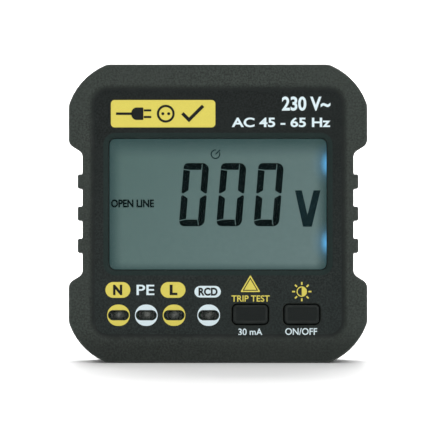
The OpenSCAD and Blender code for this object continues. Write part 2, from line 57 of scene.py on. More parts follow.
# Case
PARTING = 13.0
CASE_BACK = 30.0
WALL = 2.0
FRONT_INSIDE = 2.8
REAR_INSIDE = CASE_BACK - WALL
EDGE_R = 0.55
SEAM = 0.22
FIT = 0.05
TONGUE_IN = 1.1
TONGUE_END = PARTING - 1.4
CORNER_ACROSS = 9.3
CORNER_ALONG = 9.8
CORNER_BULGE = 22.7
WAIST = 32.7
WAIST_HALF_H = 14.6
EAR_RISE = 2.1
RIB_X = 33.85
RIB_H = 3.5
RIB_PITCH = 7.75
CASE_HOLE_R = 1.6
CASE_HEAD_R = 2.7
REAR_POST_R = 3.1

# Front
PANEL = 0.8
PANEL_Z = 36.3
PANEL_SIZE = (59.6, 58.8, 3.4)
PANEL_SLOPE = 1.6
WINDOW_FACE = 1.3
WINDOW_Z = 38.3
WINDOW_SIZE = (52.9, 32.0, 1.7)
WINDOW_BEVEL = 1.2
WINDOW_STEP = 2.86
WINDOW_BACK = 3.85
WINDOW_FLANGE = (56.8, 35.8, 1.7)
BUTTON_Z = 11.7
BUTTONS = {"rcd": 7.8, "power": 20.2}
BUTTON_HOLE = (9.0, 5.2, 1.3)
BUTTON_CAP = (8.4, 4.6, 1.0)
STEM_R = 1.6
SLOT_Z = 11.5
SLOTS = {"neutral": -24.0, "earth": -17.3, "live": -10.6, "rcd": -2.25}
SLOT_SIZE = (4.6, 2.0)
CHAMFER = 0.2
SLOT_CHAMFER = 0.06

# Plug
PLUG_Z = 44.5
BOSS_R = 18.75
BOSS_END = 47.5
CORE_END = 44.5
CORE_HALF = 14.2
CORE_R = 16.75
BOSS_EDGE = 1.0
BOSS_FOOT = 0.35
KEY_NOTCH = (2.8, 16.15)
CLIP_NOTCH = (4.5, 15.9)
PIN_X = 9.5
PIN_R = 2.4
PIN_ROOT_R = 2.7
PIN_END = 66.5
PIN_TIP_R = 1.8
EARTH_Z = PLUG_Z + 10
TUBE_R = 3.2
EARTH_BORE_R = 2.45
CLIP_OFFSET = 16.6
CLIP_SLOT = (6.2, 1.2, 0.2)
RETAINER_SPOTS = [(8.0, PLUG_Z - 9.5), (-8.0, PLUG_Z + 9.5)]

# Battery: the bay and the door by half width, lower and upper edge, and each cell by height and direction
BAY = (25.0, 3.3, 24.7)
BAY_FLOOR = 17.5
BAY_WALL = 1.3
BAY_EAR_R = 2.4
BAY_CORNER = 0.4
PLATE_SLOT = (0.5, 2.2, 0.1)
PLATE_SLOT_X = 24.7
DOOR = (26.0, 2.3, 25.2)
DOOR_SEAT = 28.2
DOOR_GAP = 0.15
DOOR_HEAD_SEAT = 28.9
EAR = (28.2, 17.5)
EAR_R = 2.9
CELL_DEPTH = 22.85
CELL_LENGTH = 44.5
CELLS = {"lower": (8.65, 1), "upper": (19.25, -1)}
PLATE_X = 24.6
CELL_TIP = 23.8

# Screws: where they are, and their tip, seat, radius, head radius and head thickness
CASE_SCREWS = [(x, MID_Z + z) for x in (-29.8, 29.8) for z in (-27.4, 27.4)]
BOARD_SCREWS = [(-24.0, 62.5), (24.0, 62.5), (-14.0, 5.6), (14.0, 5.6)]
DOOR_SCREWS = [(way * EAR[0], EAR[1]) for way in (-1, 1)]
SCREW_SEAT = 25.0
CASE_SCREW = (7.0, SCREW_SEAT, 1.25, 2.5, 1.8)
BOARD_SCREW = (5.5, 10.6, 0.95, 1.9, 1.3)
DOOR_SCREW = (19.0, DOOR_HEAD_SEAT, 0.95, 2.0, 1.0)

# Screw posts: radius, foot, end, and the radius and bottom of the hole. The door's holes have no post.
CASE_POST = (3.0, FRONT_INSIDE, PARTING - FIT, 1.3, 6.0)
BOARD_POST = (2.2, FRONT_INSIDE, 9.0, 1.0, 5.0)
RETAINER_POST = (2.5, CORE_END, 42.0, 0.9, 46.0)
DOOR_HOLE = (1.0, 18.0)

ARC_STEP = 7.5
LEAST_R = 0.05
INK = 0.035


# Outlines, drawn counter-clockwise as lists of points


def fillet(before, at, after, radius):
    """The points that round one corner, or the corner itself where the radius is 0."""
    if radius == 0:
        return [at]
    u = (before - at).normalized()
    v = (after - at).normalized()
    half = math.acos(max(-1.0, min(1.0, u.dot(v)))) / 2
    centre = at + (u + v).normalized() * (radius / math.sin(half))
    start = at + u * (radius / math.tan(half)) - centre
    turn = math.pi - 2 * half
    side = -1 if u.x * v.y - u.y * v.x > 0 else 1
    steps = max(1, math.ceil(math.degrees(turn) / ARC_STEP))
    return [centre + Matrix.Rotation(side * turn * k / steps, 2) @ start for k in range(steps + 1)]


def rounded(corners):
    """A closed outline from corners given as (x, z, radius)."""
    spots = [Vector(corner[:2]) for corner in corners]
    points = []
    for i, corner in enumerate(corners):
        points += fillet(spots[i - 1], spots[i], spots[(i + 1) % len(spots)], corner[2])
    return points


def outward(start, end):
    along = (end - start).normalized()
    return Vector((along.y, -along.x))


def moved_in(corners, distance):
    """The same corners moved inwards, with their arcs kept parallel as far as they have room."""
    spots = [Vector(corner[:2]) for corner in corners]
    moved = []
    for i, at in enumerate(spots):
        before = outward(spots[i - 1], at)
        after = outward(at, spots[(i + 1) % len(spots)])
        total = before + after
        bend = 1 if before.x * after.y - before.y * after.x > 0 else -1
        spot = at - total * (2 * distance / total.dot(total))
        moved.append((spot.x, spot.y, max(corners[i][2] - bend * distance, LEAST_R)))
    return moved


def rect(x, z, w, h, r, grow=0.0):
    """A rounded rectangle about (x, z)."""
    half_w = w / 2 + grow
    half_h = h / 2 + grow
    radius = min(max(r + grow, LEAST_R), half_w - 0.01, half_h - 0.01)
    signs = [(1, -1), (1, 1), (-1, 1), (-1, -1)]
    return rounded([(x + sx * half_w, z + sz * half_h, radius) for sx, sz in signs])


def stadium(x, z, w, h, grow=0.0):
    return rect(x, z, w, h, h / 2, grow)


def circle(x, z, r, sides=48):
    turns = [2 * math.pi * k / sides for k in range(sides)]
    return [Vector((x + r * math.cos(turn), z + r * math.sin(turn))) for turn in turns]


def mirrored(corners, across, up):
    flipped = [(x * across, z * up, r) for x, z, r in corners]
    return flipped if across * up > 0 else flipped[::-1]


def case_corners(ribs):
    """The case's outline about its centre, with or without the grip ribs of its waist."""
    low = Vector((HALF, HALF - CORNER_ALONG))
    high = Vector((HALF - CORNER_ACROSS, HALF))
    reach = (high - low).length / 2 * math.tan(math.radians(CORNER_BULGE))
    mid = (low + high) / 2 + outward(low, high) * reach
    quarter = [
        (WAIST, WAIST_HALF_H, 1.7), (HALF, WAIST_HALF_H + EAR_RISE, 2.1), (low.x, low.y, 3.5),
        (mid.x, mid.y, 15.6), (high.x, high.y, 3.5),
    ]
    side = []
    for k in (-1, 0, 1) if ribs else ():
        low_z = k * RIB_PITCH - RIB_H / 2
        high_z = k * RIB_PITCH + RIB_H / 2
        side += [(WAIST, low_z, 0.3), (RIB_X, low_z, 0.5), (RIB_X, high_z, 0.5), (WAIST, high_z, 0.3)]
    return [
        *side, *quarter, *mirrored(quarter, -1, 1), *mirrored(side, -1, -1),
        *mirrored(quarter, -1, -1), *mirrored(quarter, 1, -1),
    ]


def case(inwards, ribs=True):
    points = rounded(moved_in(case_corners(ribs), inwards))
    return [point + Vector((0, MID_Z)) for point in points]


plain_case = partial(case, ribs=False)
window = partial(rect, 0, WINDOW_Z, *WINDOW_SIZE)


def eared(half_w, low, high, ear_reach, ear_r):
    """The battery door's outline: a rectangle with a round ear on each side."""
    side = [
        (half_w, low, 1.0), (half_w, EAR[1] - ear_r, 0.2), (ear_reach, EAR[1] - ear_r, ear_r - 0.02),
        (ear_reach, EAR[1] + ear_r, ear_r - 0.02), (half_w, EAR[1] + ear_r, 0.2), (half_w, high, 1.0),
    ]
    return side + mirrored(side, -1, 1)


def boss(inset):
    """The plug boss with its two key grooves and two clip recesses, their floors kept where they are."""
    radius = BOSS_R - inset
    corners = []
    for quarter in range(4):
        half, floor = (KEY_NOTCH, CLIP_NOTCH)[quarter % 2]
        next_half = (CLIP_NOTCH, KEY_NOTCH)[quarter % 2][0]
        mouth = math.sqrt(radius**2 - half**2)
        drawn = [(mouth, -half, 0.35), (floor, -half, 0.3), (floor, half, 0.3), (mouth, half, 0.35)]
        first = math.asin(half / radius)
        last = math.pi / 2 - math.asin(next_half / radius)
        for k in range(1, 12):
            turn = first + (last - first) * k / 12
            drawn.append((radius * math.cos(turn), radius * math.sin(turn), 0))
        spin = Matrix.Rotation(quarter * math.pi / 2, 2)
        for x, z, r in drawn:
            spot = spin @ Vector((x, z))
            corners.append((spot.x, spot.y + PLUG_Z, r))
    return rounded(corners)


def boss_core(inset=0.0):
    """The hollow of the boss: a circle with four flats."""
    radius = CORE_R - inset
    half = CORE_HALF - inset
    first = math.acos(half / radius)
    points = []
    for quarter in range(4):
        for k in range(11):
            turn = quarter * math.pi / 2 + first + (math.pi / 2 - 2 * first) * k / 10
            points.append(Vector((radius * math.cos(turn), PLUG_Z + radius * math.sin(turn))))
    return points


def edge_rows(radius):
    """Rows of (inset, drop, wear) round an edge, from its flat face to its side."""
    rows = []
    for k in range(5):
        turn = math.pi / 8 * k
        rows.append((radius * (1 - math.sin(turn)), radius * (1 - math.cos(turn)), math.sin(2 * turn)))
    return rows


# Meshes


def place(x, depth, z):
    """A point of the frame, in metres."""
    return Vector((x, FRONT_Y + depth, z)) * MM


def smooth(t):
    return t * t * (3 - 2 * t)


class Shape:
    """A closed mesh made of loops of points. Its wear-and-shade value is 1 on a rubbed edge and -1 for
    painted recess shade.
    """

    def __init__(self, put=place):
        self.mesh = bmesh.new()
        self.wear_and_shade = self.mesh.verts.layers.float.new("wear_and_shade")
        self.put = put

    def ring(self, spots, wear_and_shade=0.0):
        verts = [self.mesh.verts.new(spot) for spot in spots]
        for vert in verts:
            vert[self.wear_and_shade] = wear_and_shade
        for i, vert in enumerate(verts):
            self.mesh.edges.new((verts[i - 1], vert))
        return verts

    def loop(self, points, depth, wear_and_shade=0.0):
        return self.ring([self.put(point[0], depth, point[1]) for point in points], wear_and_shade)

    def layers(self, outline, rows):
        """The loops of one outline, from rows of (size, depth) or (size, depth, wear and painted shade)."""
        return [self.loop(outline(row[0]), *row[1:]) for row in rows]

    def wall(self, *loops, finish=0):
        """Faces from each loop to the next."""
        for first, second in zip(loops, loops[1:]):
            for i in range(len(first)):
                face = self.mesh.faces.new((first[i - 1], first[i], second[i], second[i - 1]))
                face.material_index = finish

    def plate(self, *loops, finish=0):
        """A flat face between one outer loop and the loops of its holes."""
        if len(loops) == 1:
            self.mesh.faces.new(loops[0]).material_index = finish
            return
        edges = [self.mesh.edges.get((loop[i - 1], loop[i])) for loop in loops for i in range(len(loop))]
        made = bmesh.ops.triangle_fill(self.mesh, use_beauty=True, edges=edges)
        for face in made["geom"]:
            if isinstance(face, bmesh.types.BMFace):
                face.material_index = finish

    def prism(self, outer, front, back, holes=()):
        """A flat piece between two depths."""
        fronts = []
        backs = []
        for points in (outer, *holes):
            self.passage(lambda _: points, [(0, front), (0, back)], fronts, backs)
        self.plate(*fronts)
        self.plate(*backs)

    def solid(self, *loops):
        """The walls between the loops, closed at both ends."""
        self.wall(*loops)
        self.plate(loops[0])
        self.plate(loops[-1])

    def turned(self, x, z, profile, sides=48):
        """A solid turned about a front-to-back axis, from (radius, depth) or (radius, depth, wear and painted
        shade).
        """
        self.solid(*self.layers(partial(circle, x, z, sides=sides), profile))

    def passage(self, outline, rows, near_face, far_face):
        """The walls of a hole, whose end loops are added to the loops of the two faces it joins."""
        loops = self.layers(outline, rows)
        self.wall(*loops)
        near_face.append(loops[0])
        far_face.append(loops[-1])

    def blind_hole(self, mouth, x, z, r, depth):
        """A round hole from a loop already drawn at its mouth down to its flat end."""
        end = self.loop(circle(x, z, r, len(mouth)), depth)
        self.wall(mouth, end)
        self.plate(end)

    def piece(self, name, body, slot, finishes, *replaced):
        """Turns the shape into a finished object that rides on a CAD body."""
        bmesh.ops.recalc_face_normals(self.mesh, faces=self.mesh.faces)
        mesh = bpy.data.meshes.new(name)
        self.mesh.to_mesh(mesh)
        self.mesh.free()
        return finished(mesh, name, body, slot, finishes, *replaced)


def linked(name, data):
    """A new object in the scene."""
    made = bpy.data.objects.new(name, data)
    bpy.context.scene.collection.objects.link(made)
    return made


def finished(mesh, name, body, slot, finishes, *replaced):
    """An object of that mesh, with smooth shading and its finishes, that rides on a CAD body."""
    mesh.shade_smooth()
    mesh.set_sharp_from_angle(angle=math.radians(32))
    for finish in finishes:
        mesh.materials.append(finish)
    piece = linked(name, mesh)
    weighted = piece.modifiers.new("weighted", "WEIGHTED_NORMAL")
    weighted.keep_sharp = True
    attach(piece, body)
    if replaced:
        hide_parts(*replaced)
    return piece


# Finishes


def linear(red, green, blue):
    """A display colour from 0 to 255 as the shader's linear one."""
    parts = [c / 255 for c in (red, green, blue)]
    return tuple(p / 12.92 if p <= 0.04045 else ((p + 0.055) / 1.055) ** 2.4 for p in parts)


def scaled(colour, by):
    return tuple(min(c * by, 1.0) for c in colour)


class Finish:
    """A procedural material in the making, with one Principled shader."""

    def __init__(self, name):
        self.material = bpy.data.materials.new(name)
        self.material.use_nodes = True
        self.tree = self.material.node_tree
        self.shader = self.tree.nodes["Principled BSDF"]
        self.place = self.add("ShaderNodeTexCoord").outputs["Object"]

    def add(self, kind, **properties):
        node = self.tree.nodes.new(kind)
        for name, value in properties.items():
            setattr(node, name, value)
        return node

    def feed(self, socket, value):
        if isinstance(value, bpy.types.NodeSocket):
            self.tree.links.new(value, socket)
        elif isinstance(value, tuple) and len(value) == 3 and socket.type == "RGBA":
            socket.default_value = (*value, 1.0)
        else:
            socket.default_value = value

    def axes(self):
        """The parts X, Y and Z of the place."""
        parts = self.add("ShaderNodeSeparateXYZ")
        self.feed(parts.inputs["Vector"], self.place)
        return parts.outputs

    def noise(self, size, detail=2.0, stretch=(1, 1, 1)):
        """Noise whose bumps are about size millimetres across."""
        mapping = self.add("ShaderNodeMapping")
        self.feed(mapping.inputs["Vector"], self.place)
        mapping.inputs["Scale"].default_value = [1 / s for s in stretch]
        texture = self.add("ShaderNodeTexNoise")
        self.feed(texture.inputs["Vector"], mapping.outputs["Vector"])
        self.feed(texture.inputs["Scale"], 1 / (size * MM))
        self.feed(texture.inputs["Detail"], detail)
        self.feed(texture.inputs["Roughness"], 0.5)
        return texture.outputs["Fac"]

    def maths(self, operation, *values, clamp=False):
        node = self.add("ShaderNodeMath", operation=operation, use_clamp=clamp)
        for socket, value in zip(node.inputs, values):
            self.feed(socket, value)
        return node.outputs["Value"]

    def spread(self, value, low, high, to_low=0.0, to_high=1.0, soft=True):
        """value between low and high, carried over to the range from to_low to to_high."""
        node = self.add("ShaderNodeMapRange", interpolation_type="SMOOTHSTEP" if soft else "LINEAR")
        for name, number in zip(("Value", "From Min", "From Max", "To Min", "To Max"),
                                (value, low, high, to_low, to_high)):
            self.feed(node.inputs[name], number)
        return node.outputs["Result"]

    def mixed(self, factor, first, second):
        node = self.add("ShaderNodeMix", data_type="RGBA")
        self.feed(node.inputs["Factor"], factor)
        self.feed(node.inputs[6], first)
        self.feed(node.inputs[7], second)
        return node.outputs[2]

    def wear_and_shade(self):
        return self.add("ShaderNodeAttribute", attribute_name="wear_and_shade").outputs["Fac"]

    def set(self, **values):
        for name, value in values.items():
            self.feed(self.shader.inputs[name.replace("_", " ")], value)

    def bump(self, height, depth):
        node = self.add("ShaderNodeBump")
        self.feed(node.inputs["Height"], height)
        self.feed(node.inputs["Distance"], depth * MM)
        self.feed(node.inputs["Strength"], 1.0)
        self.feed(self.shader.inputs["Normal"], node.outputs["Normal"])


def surface(name, colour, roughness, grain=0.3, relief=0.01, tone=0.1, stretch=(1, 1, 1),
            worn=None, metallic=0.0, specular=0.5, alpha=1.0, recess_shade=None, foot=1.0, painted_light_heights=(0, 1)):
    """A finish with fine grain, uneven tone and roughness, and edges that wear to another colour.

    Where the wear-and-shade attribute is below 0 the colour turns into the recess colour, a painted shade.
    foot scales
    the colour as painted light and shade: by foot at the lower of the two given heights, fading out at the
    upper one.
    """
    make = Finish(name)
    fine = make.noise(grain, detail=3, stretch=stretch)
    broad = make.noise(grain * 30, detail=3)
    patch = make.noise(grain * 6, detail=2, stretch=stretch)
    speckle = make.mixed(make.spread(fine, 0.3, 0.7), scaled(colour, 1 - tone), scaled(colour, 1 + tone))
    shade = make.mixed(make.spread(broad, 0.3, 0.7, 0.0, 0.4), speckle, scaled(colour, 1 + tone * 0.4))
    rough = make.spread(patch, 0.3, 0.7, roughness * 0.88, min(roughness * 1.12, 1.0))
    # Painted shade: below 0 the wear-and-shade attribute turns the colour into the recess colour.
    if recess_shade:
        painted_recess_shade = make.maths("MULTIPLY", make.wear_and_shade(), -1.0, clamp=True)
        shade = make.mixed(painted_recess_shade, shade, recess_shade)
    # Painted light and shade by height: the colour is scaled by foot at the lower height, fading out at the
    # upper.
    if foot != 1.0:
        painted_light_by_height = make.spread(make.axes()["Z"], painted_light_heights[0] * MM, painted_light_heights[1] * MM, foot, 1.0)
        painted_light_scale = make.add("ShaderNodeVectorMath", operation="SCALE")
        make.feed(painted_light_scale.inputs[0], shade)
        make.feed(painted_light_scale.inputs["Scale"], painted_light_by_height)
        shade = painted_light_scale.outputs["Vector"]
    if worn:
        rub = make.maths("MULTIPLY", make.wear_and_shade(), make.spread(patch, 0.35, 0.65, 0.35, 1.0), clamp=True)
        shade = make.mixed(rub, shade, worn)
        rough = make.maths("SUBTRACT", rough, make.maths("MULTIPLY", rub, roughness * 0.25))
    make.set(Base_Color=shade, Roughness=rough, Metallic=metallic, Alpha=alpha)
    make.set(Specular_IOR_Level=specular)
    make.bump(fine, relief)
    return make.material


CASE_GREY = linear(53, 59, 55)
CASE_WORN = linear(66, 71, 67)
PANEL_GREY = linear(28, 33, 32)
# Painted reflection: the window bevel is panel plastic lightened and tinted by the display's light.
BEVEL_LCD_REFLECTION = linear(30, 44, 42)
YELLOW = linear(228, 214, 98)
PALE = linear(226, 243, 248)
DARK = linear(24, 28, 27)

# Case grey with rubbed lighter edges; painted shade turns it into the panel grey down the panel's slope and
# darkens it towards the floor.
case_grey_and_painted_shade = surface(
    "case_plastic", CASE_GREY, 0.62, 0.45, 0.03, 0.36, worn=CASE_WORN, specular=0.2, recess_shade=PANEL_GREY,
    foot=0.6, painted_light_heights=(3, 9)
)
# Panel grey with painted light: lighter towards the bottom, plain grey at the top.
panel_grey_and_painted_light = surface(
    "panel_plastic_and_painted_light", PANEL_GREY, 0.6, 0.45, 0.03, 0.4, specular=0.14, foot=1.7, painted_light_heights=(4, 64)
)
bevel_reflection_finish = surface("bevel_painted_reflection", BEVEL_LCD_REFLECTION, 0.5, 0.4, 0.01, 0.1, specular=0.14)
button_finish = surface(
    "button_plastic", linear(26, 31, 30), 0.5, 0.35, 0.008, 0.1, worn=linear(40, 45, 43), specular=0.15
)
yellow_ink = surface("yellow_ink", YELLOW, 0.5, 0.3, 0.006, 0.03, specular=0.2)
pale_ink = surface("pale_ink", PALE, 0.5, 0.3, 0.006, 0.03, specular=0.2)
dark_ink_and_painted_shadow = surface("dark_ink_and_painted_shadow", DARK, 0.5, 0.3, 0.006, 0.05, specular=0.15)
segment_finish = surface("lcd_segments", linear(4, 16, 17), 0.5, 0.5, 0.002, 0.05, specular=0.03)
sign_finish = surface("lcd_signs", linear(18, 38, 42), 0.5, 0.5, 0.002, 0.05, specular=0.03)
window_finish = surface(
    "window_clear", linear(70, 82, 82), 0.08, 2.0, 0.0002, 0.02, specular=0.06, alpha=0.02
)
lens_finish = surface("lens_clear", linear(120, 128, 122), 0.12, 0.8, 0.002, 0.03, specular=0.3, alpha=0.1)
white_finish = surface("white_plastic", linear(226, 226, 221), 0.5, 0.3, 0.008, 0.03)
guide_finish = surface("light_guide", linear(222, 232, 236), 0.35, 0.4, 0.006, 0.02)
rubber_finish = surface("contact_rubber", linear(206, 150, 160), 0.7, 0.2, 0.01, 0.08)
black_finish = surface("black_plastic", linear(34, 34, 36), 0.55, 0.2, 0.008, 0.12)
ceramic_finish = surface("resistor_body", linear(126, 152, 170), 0.6, 0.25, 0.012, 0.08)
# Brass with rubbed lighter edges; its dark brown is painted shade inside the earth socket's bore.
brass_and_bore_shade = surface(
    "brass", linear(222, 190, 122), 0.3, 0.6, 0.0005, 0.06, worn=linear(240, 214, 152), metallic=1.0,
    recess_shade=linear(46, 36, 22)
)
strap_finish = surface(
    "strap_metal", linear(214, 196, 146), 0.3, 0.15, 0.001, 0.07, (1, 12, 1), linear(236, 222, 180), 1.0
)
steel_finish = surface("screw_steel", linear(170, 172, 176), 0.32, 0.1, 0.003, 0.08, metallic=1.0)
contact_finish = surface(
    "contact_metal", linear(206, 208, 211), 0.25, 0.12, 0.002, 0.05, (1, 1, 8), metallic=1.0
)
can_finish = surface("cell_can", linear(196, 198, 201), 0.3, 0.12, 0.002, 0.05, (1, 6, 6), metallic=1.0)
sleeve_finish = surface("cell_sleeve", linear(66, 110, 104), 0.35, 0.5, 0.003, 0.04)
band_finish = surface("cell_band", linear(206, 208, 200), 0.35, 0.5, 0.003, 0.03)
LEADS = {"live": linear(110, 62, 34), "neutral": linear(44, 92, 176), "earth": linear(122, 158, 44)}


def board_finish():
    """Solder mask with darker tracks under it."""
    make = Finish("circuit_board")
    cells = make.add("ShaderNodeTexVoronoi", feature="DISTANCE_TO_EDGE")
    make.feed(cells.inputs["Vector"], make.place)
    make.feed(cells.inputs["Scale"], 1 / (5 * MM))
    track = make.spread(cells.outputs["Distance"], 0.05, 0.09)
    grain = make.noise(0.4)
    mask = make.mixed(grain, linear(26, 92, 52), linear(32, 104, 60))
    make.set(Base_Color=make.mixed(track, linear(44, 124, 74), mask))
    make.set(Roughness=make.spread(grain, 0.3, 0.7, 0.28, 0.4))
    make.bump(track, 0.03)
    return make.material


def near(make, x, z, across, up, reach, slim=1.0):
    """1 at a point of the front, falling to 0 at reach millimetres above it and at reach / slim beside it."""
    dx = make.maths("MULTIPLY", make.maths("SUBTRACT", across, x * MM), slim)
    dz = make.maths("SUBTRACT", up, z * MM)
    far = make.maths("SQRT", make.maths("ADD", make.maths("POWER", dx, 2.0), make.maths("POWER", dz, 2.0)))
    return make.spread(far, 0.0, reach * MM, 1.0, 0.0)


def led_with_painted_glint():
    """Clear LEDs: mottled grey lightened to stand in for glints, with a painted highlight in the middle of
    each.
    """
    make = Finish("led_clear")
    across, _, up = make.axes()
    cloud = make.spread(make.noise(0.5, detail=3), 0.35, 0.65)
    shade = make.mixed(cloud, linear(84, 92, 87), linear(150, 157, 151))
    # A painted highlight near each slot's middle.
    for x in SLOTS.values():
        painted_glint = near(make, x + 0.15, SLOT_Z + 0.1, across, up, 1.5)
        painted_glint = make.maths("MULTIPLY", painted_glint, make.spread(cloud, 0.0, 1.0, 0.5, 1.0))
        shade = make.mixed(painted_glint, shade, linear(250, 252, 246))
    make.set(Base_Color=shade, Roughness=make.spread(cloud, 0.0, 1.0, 0.14, 0.24), Specular_IOR_Level=0.6)
    make.bump(cloud, 0.01)
    return make.material


def lcd_glow_with_painted_edge_shade():
    """Backlit glass: even in the middle, with painted shade along its edges, and two blue lamps on its right.
    """
    make = Finish("lcd_glass")
    across, _, up = make.axes()
    half_w = WINDOW_SIZE[0] / 2
    low, high = WINDOW_Z - WINDOW_SIZE[1] / 2, WINDOW_Z + WINDOW_SIZE[1] / 2
    slant = make.maths("SUBTRACT", make.maths("MULTIPLY", across, 1.2), up)
    tone = make.spread(slant, -85 * MM, 5 * MM, soft=False)
    glow = make.mixed(tone, linear(76, 103, 99), linear(98, 121, 120))
    # Painted shadow of the window frame: the glow darkens within a few millimetres of each edge.
    left = make.spread(across, -half_w * MM, (3.6 - half_w) * MM)
    right = make.spread(across, half_w * MM, (half_w - 3.5) * MM)
    top = make.spread(up, high * MM, (high - 5.5) * MM)
    bottom = make.spread(up, (low - 0.6) * MM, (low + 2.2) * MM)
    clear_of_edge_shade = make.maths("MULTIPLY", make.maths("MULTIPLY", left, right), make.maths("MULTIPLY", top, bottom))
    glow = make.mixed(clear_of_edge_shade, linear(46, 74, 74), glow)
    for lamp_z in (48.0, 29.0):
        halo = near(make, half_w + 0.5, lamp_z, across, up, 6.0, 1.2)
        glow = make.mixed(make.maths("MULTIPLY", halo, 0.4), glow, linear(88, 148, 190))
        core = near(make, half_w + 0.1, lamp_z, across, up, 3.6, 1.7)
        glow = make.mixed(core, glow, linear(96, 184, 240))
    mottle = make.noise(1.1, detail=4)
    glow = make.mixed(make.spread(mottle, 0.3, 0.7, 0.0, 0.16), glow, linear(70, 92, 92))
    make.set(Base_Color=make.mixed(0.12, linear(0, 0, 0), glow), Emission_Color=glow)
    make.set(Emission_Strength=0.9, Specular_IOR_Level=0.3)
    make.set(Roughness=make.spread(mottle, 0.3, 0.7, 0.32, 0.4))
    return make.material


led_clear_painted_glint = led_with_painted_glint()
lcd_glow_and_edge_shade = lcd_glow_with_painted_edge_shade()
mask_finish = board_finish()


# Case


def edge_loops(shape, depth, way):
    """The rounded edge of the case from its flat face. way is 1 at the front and -1 at the back."""
    return shape.layers(case, [(inset, depth + way * drop, wear_and_shade) for inset, drop, wear_and_shade in edge_rows(EDGE_R)])


def post(shape, x, z, r, start, end, hole_r, hole_end):
    """A round post with a screw hole. Gives the loop of its foot."""
    foot, top, mouth = shape.layers(partial(circle, x, z), [(r, start), (r, end), (hole_r, end)])
    shape.wall(foot, top, mouth)
    shape.blind_hole(mouth, x, z, hole_r, hole_end)
    return foot


def front_shell():
    shape = Shape()
    outside = edge_loops(shape, 0, 1)
    side = shape.loop(case(0), PARTING - SEAM)
    seam = shape.loop(case(SEAM), PARTING)
    shape.wall(*outside, side, seam)

    # The slope from rim to panel carries painted shade: its colour fades from the case grey into the panel
    # grey.
    steps = 6
    falls = [smooth(k / steps) for k in range(steps + 1)]
    rows = [(PANEL_SLOPE * (1 - k / steps), PANEL * fall, -fall) for k, fall in enumerate(falls)]
    slope = shape.layers(partial(rect, 0, PANEL_Z, *PANEL_SIZE), rows)
    shape.plate(outside[0], slope[0])
    shape.wall(*slope)

    bevel = shape.layers(window, [(WINDOW_BEVEL, PANEL), (0, WINDOW_FACE), (0, FRONT_INSIDE)])
    # The bevel faces take the colour with the painted reflection of the display's light.
    shape.wall(*bevel[:2], finish=2)
    shape.wall(*bevel[1:])
    lips = [bevel[0]]
    backs = [bevel[-1]]
    holes = [(partial(rect, x, BUTTON_Z, *BUTTON_HOLE), CHAMFER) for x in BUTTONS.values()]
    holes += [(partial(stadium, x, SLOT_Z, *SLOT_SIZE), SLOT_CHAMFER) for x in SLOTS.values()]
    for outline, chamfer in holes:
        rows = [(chamfer, PANEL, 0.5), (0, PANEL + chamfer, 0.5), (0, FRONT_INSIDE)]
        shape.passage(outline, rows, lips, backs)
    shape.plate(slope[-1], *lips, finish=1)

    backs += [post(shape, x, z, *CASE_POST) for x, z in CASE_SCREWS]
    backs += [post(shape, x, z, *BOARD_POST) for x, z in BOARD_SCREWS]
    groove_in = TONGUE_IN - 2 * FIT
    groove_end = TONGUE_END - 2 * FIT
    rows = [(WALL, FRONT_INSIDE), (WALL, groove_end), (groove_in, groove_end), (groove_in, PARTING)]
    inside = shape.layers(plain_case, rows)
    shape.plate(inside[0], *backs)
    shape.wall(*inside)
    shape.plate(seam, inside[-1])
    finishes = [case_grey_and_painted_shade, panel_grey_and_painted_light, bevel_reflection_finish]
    shape.piece("front_shell_body", "case", "case_plastic", finishes, "front_shell")


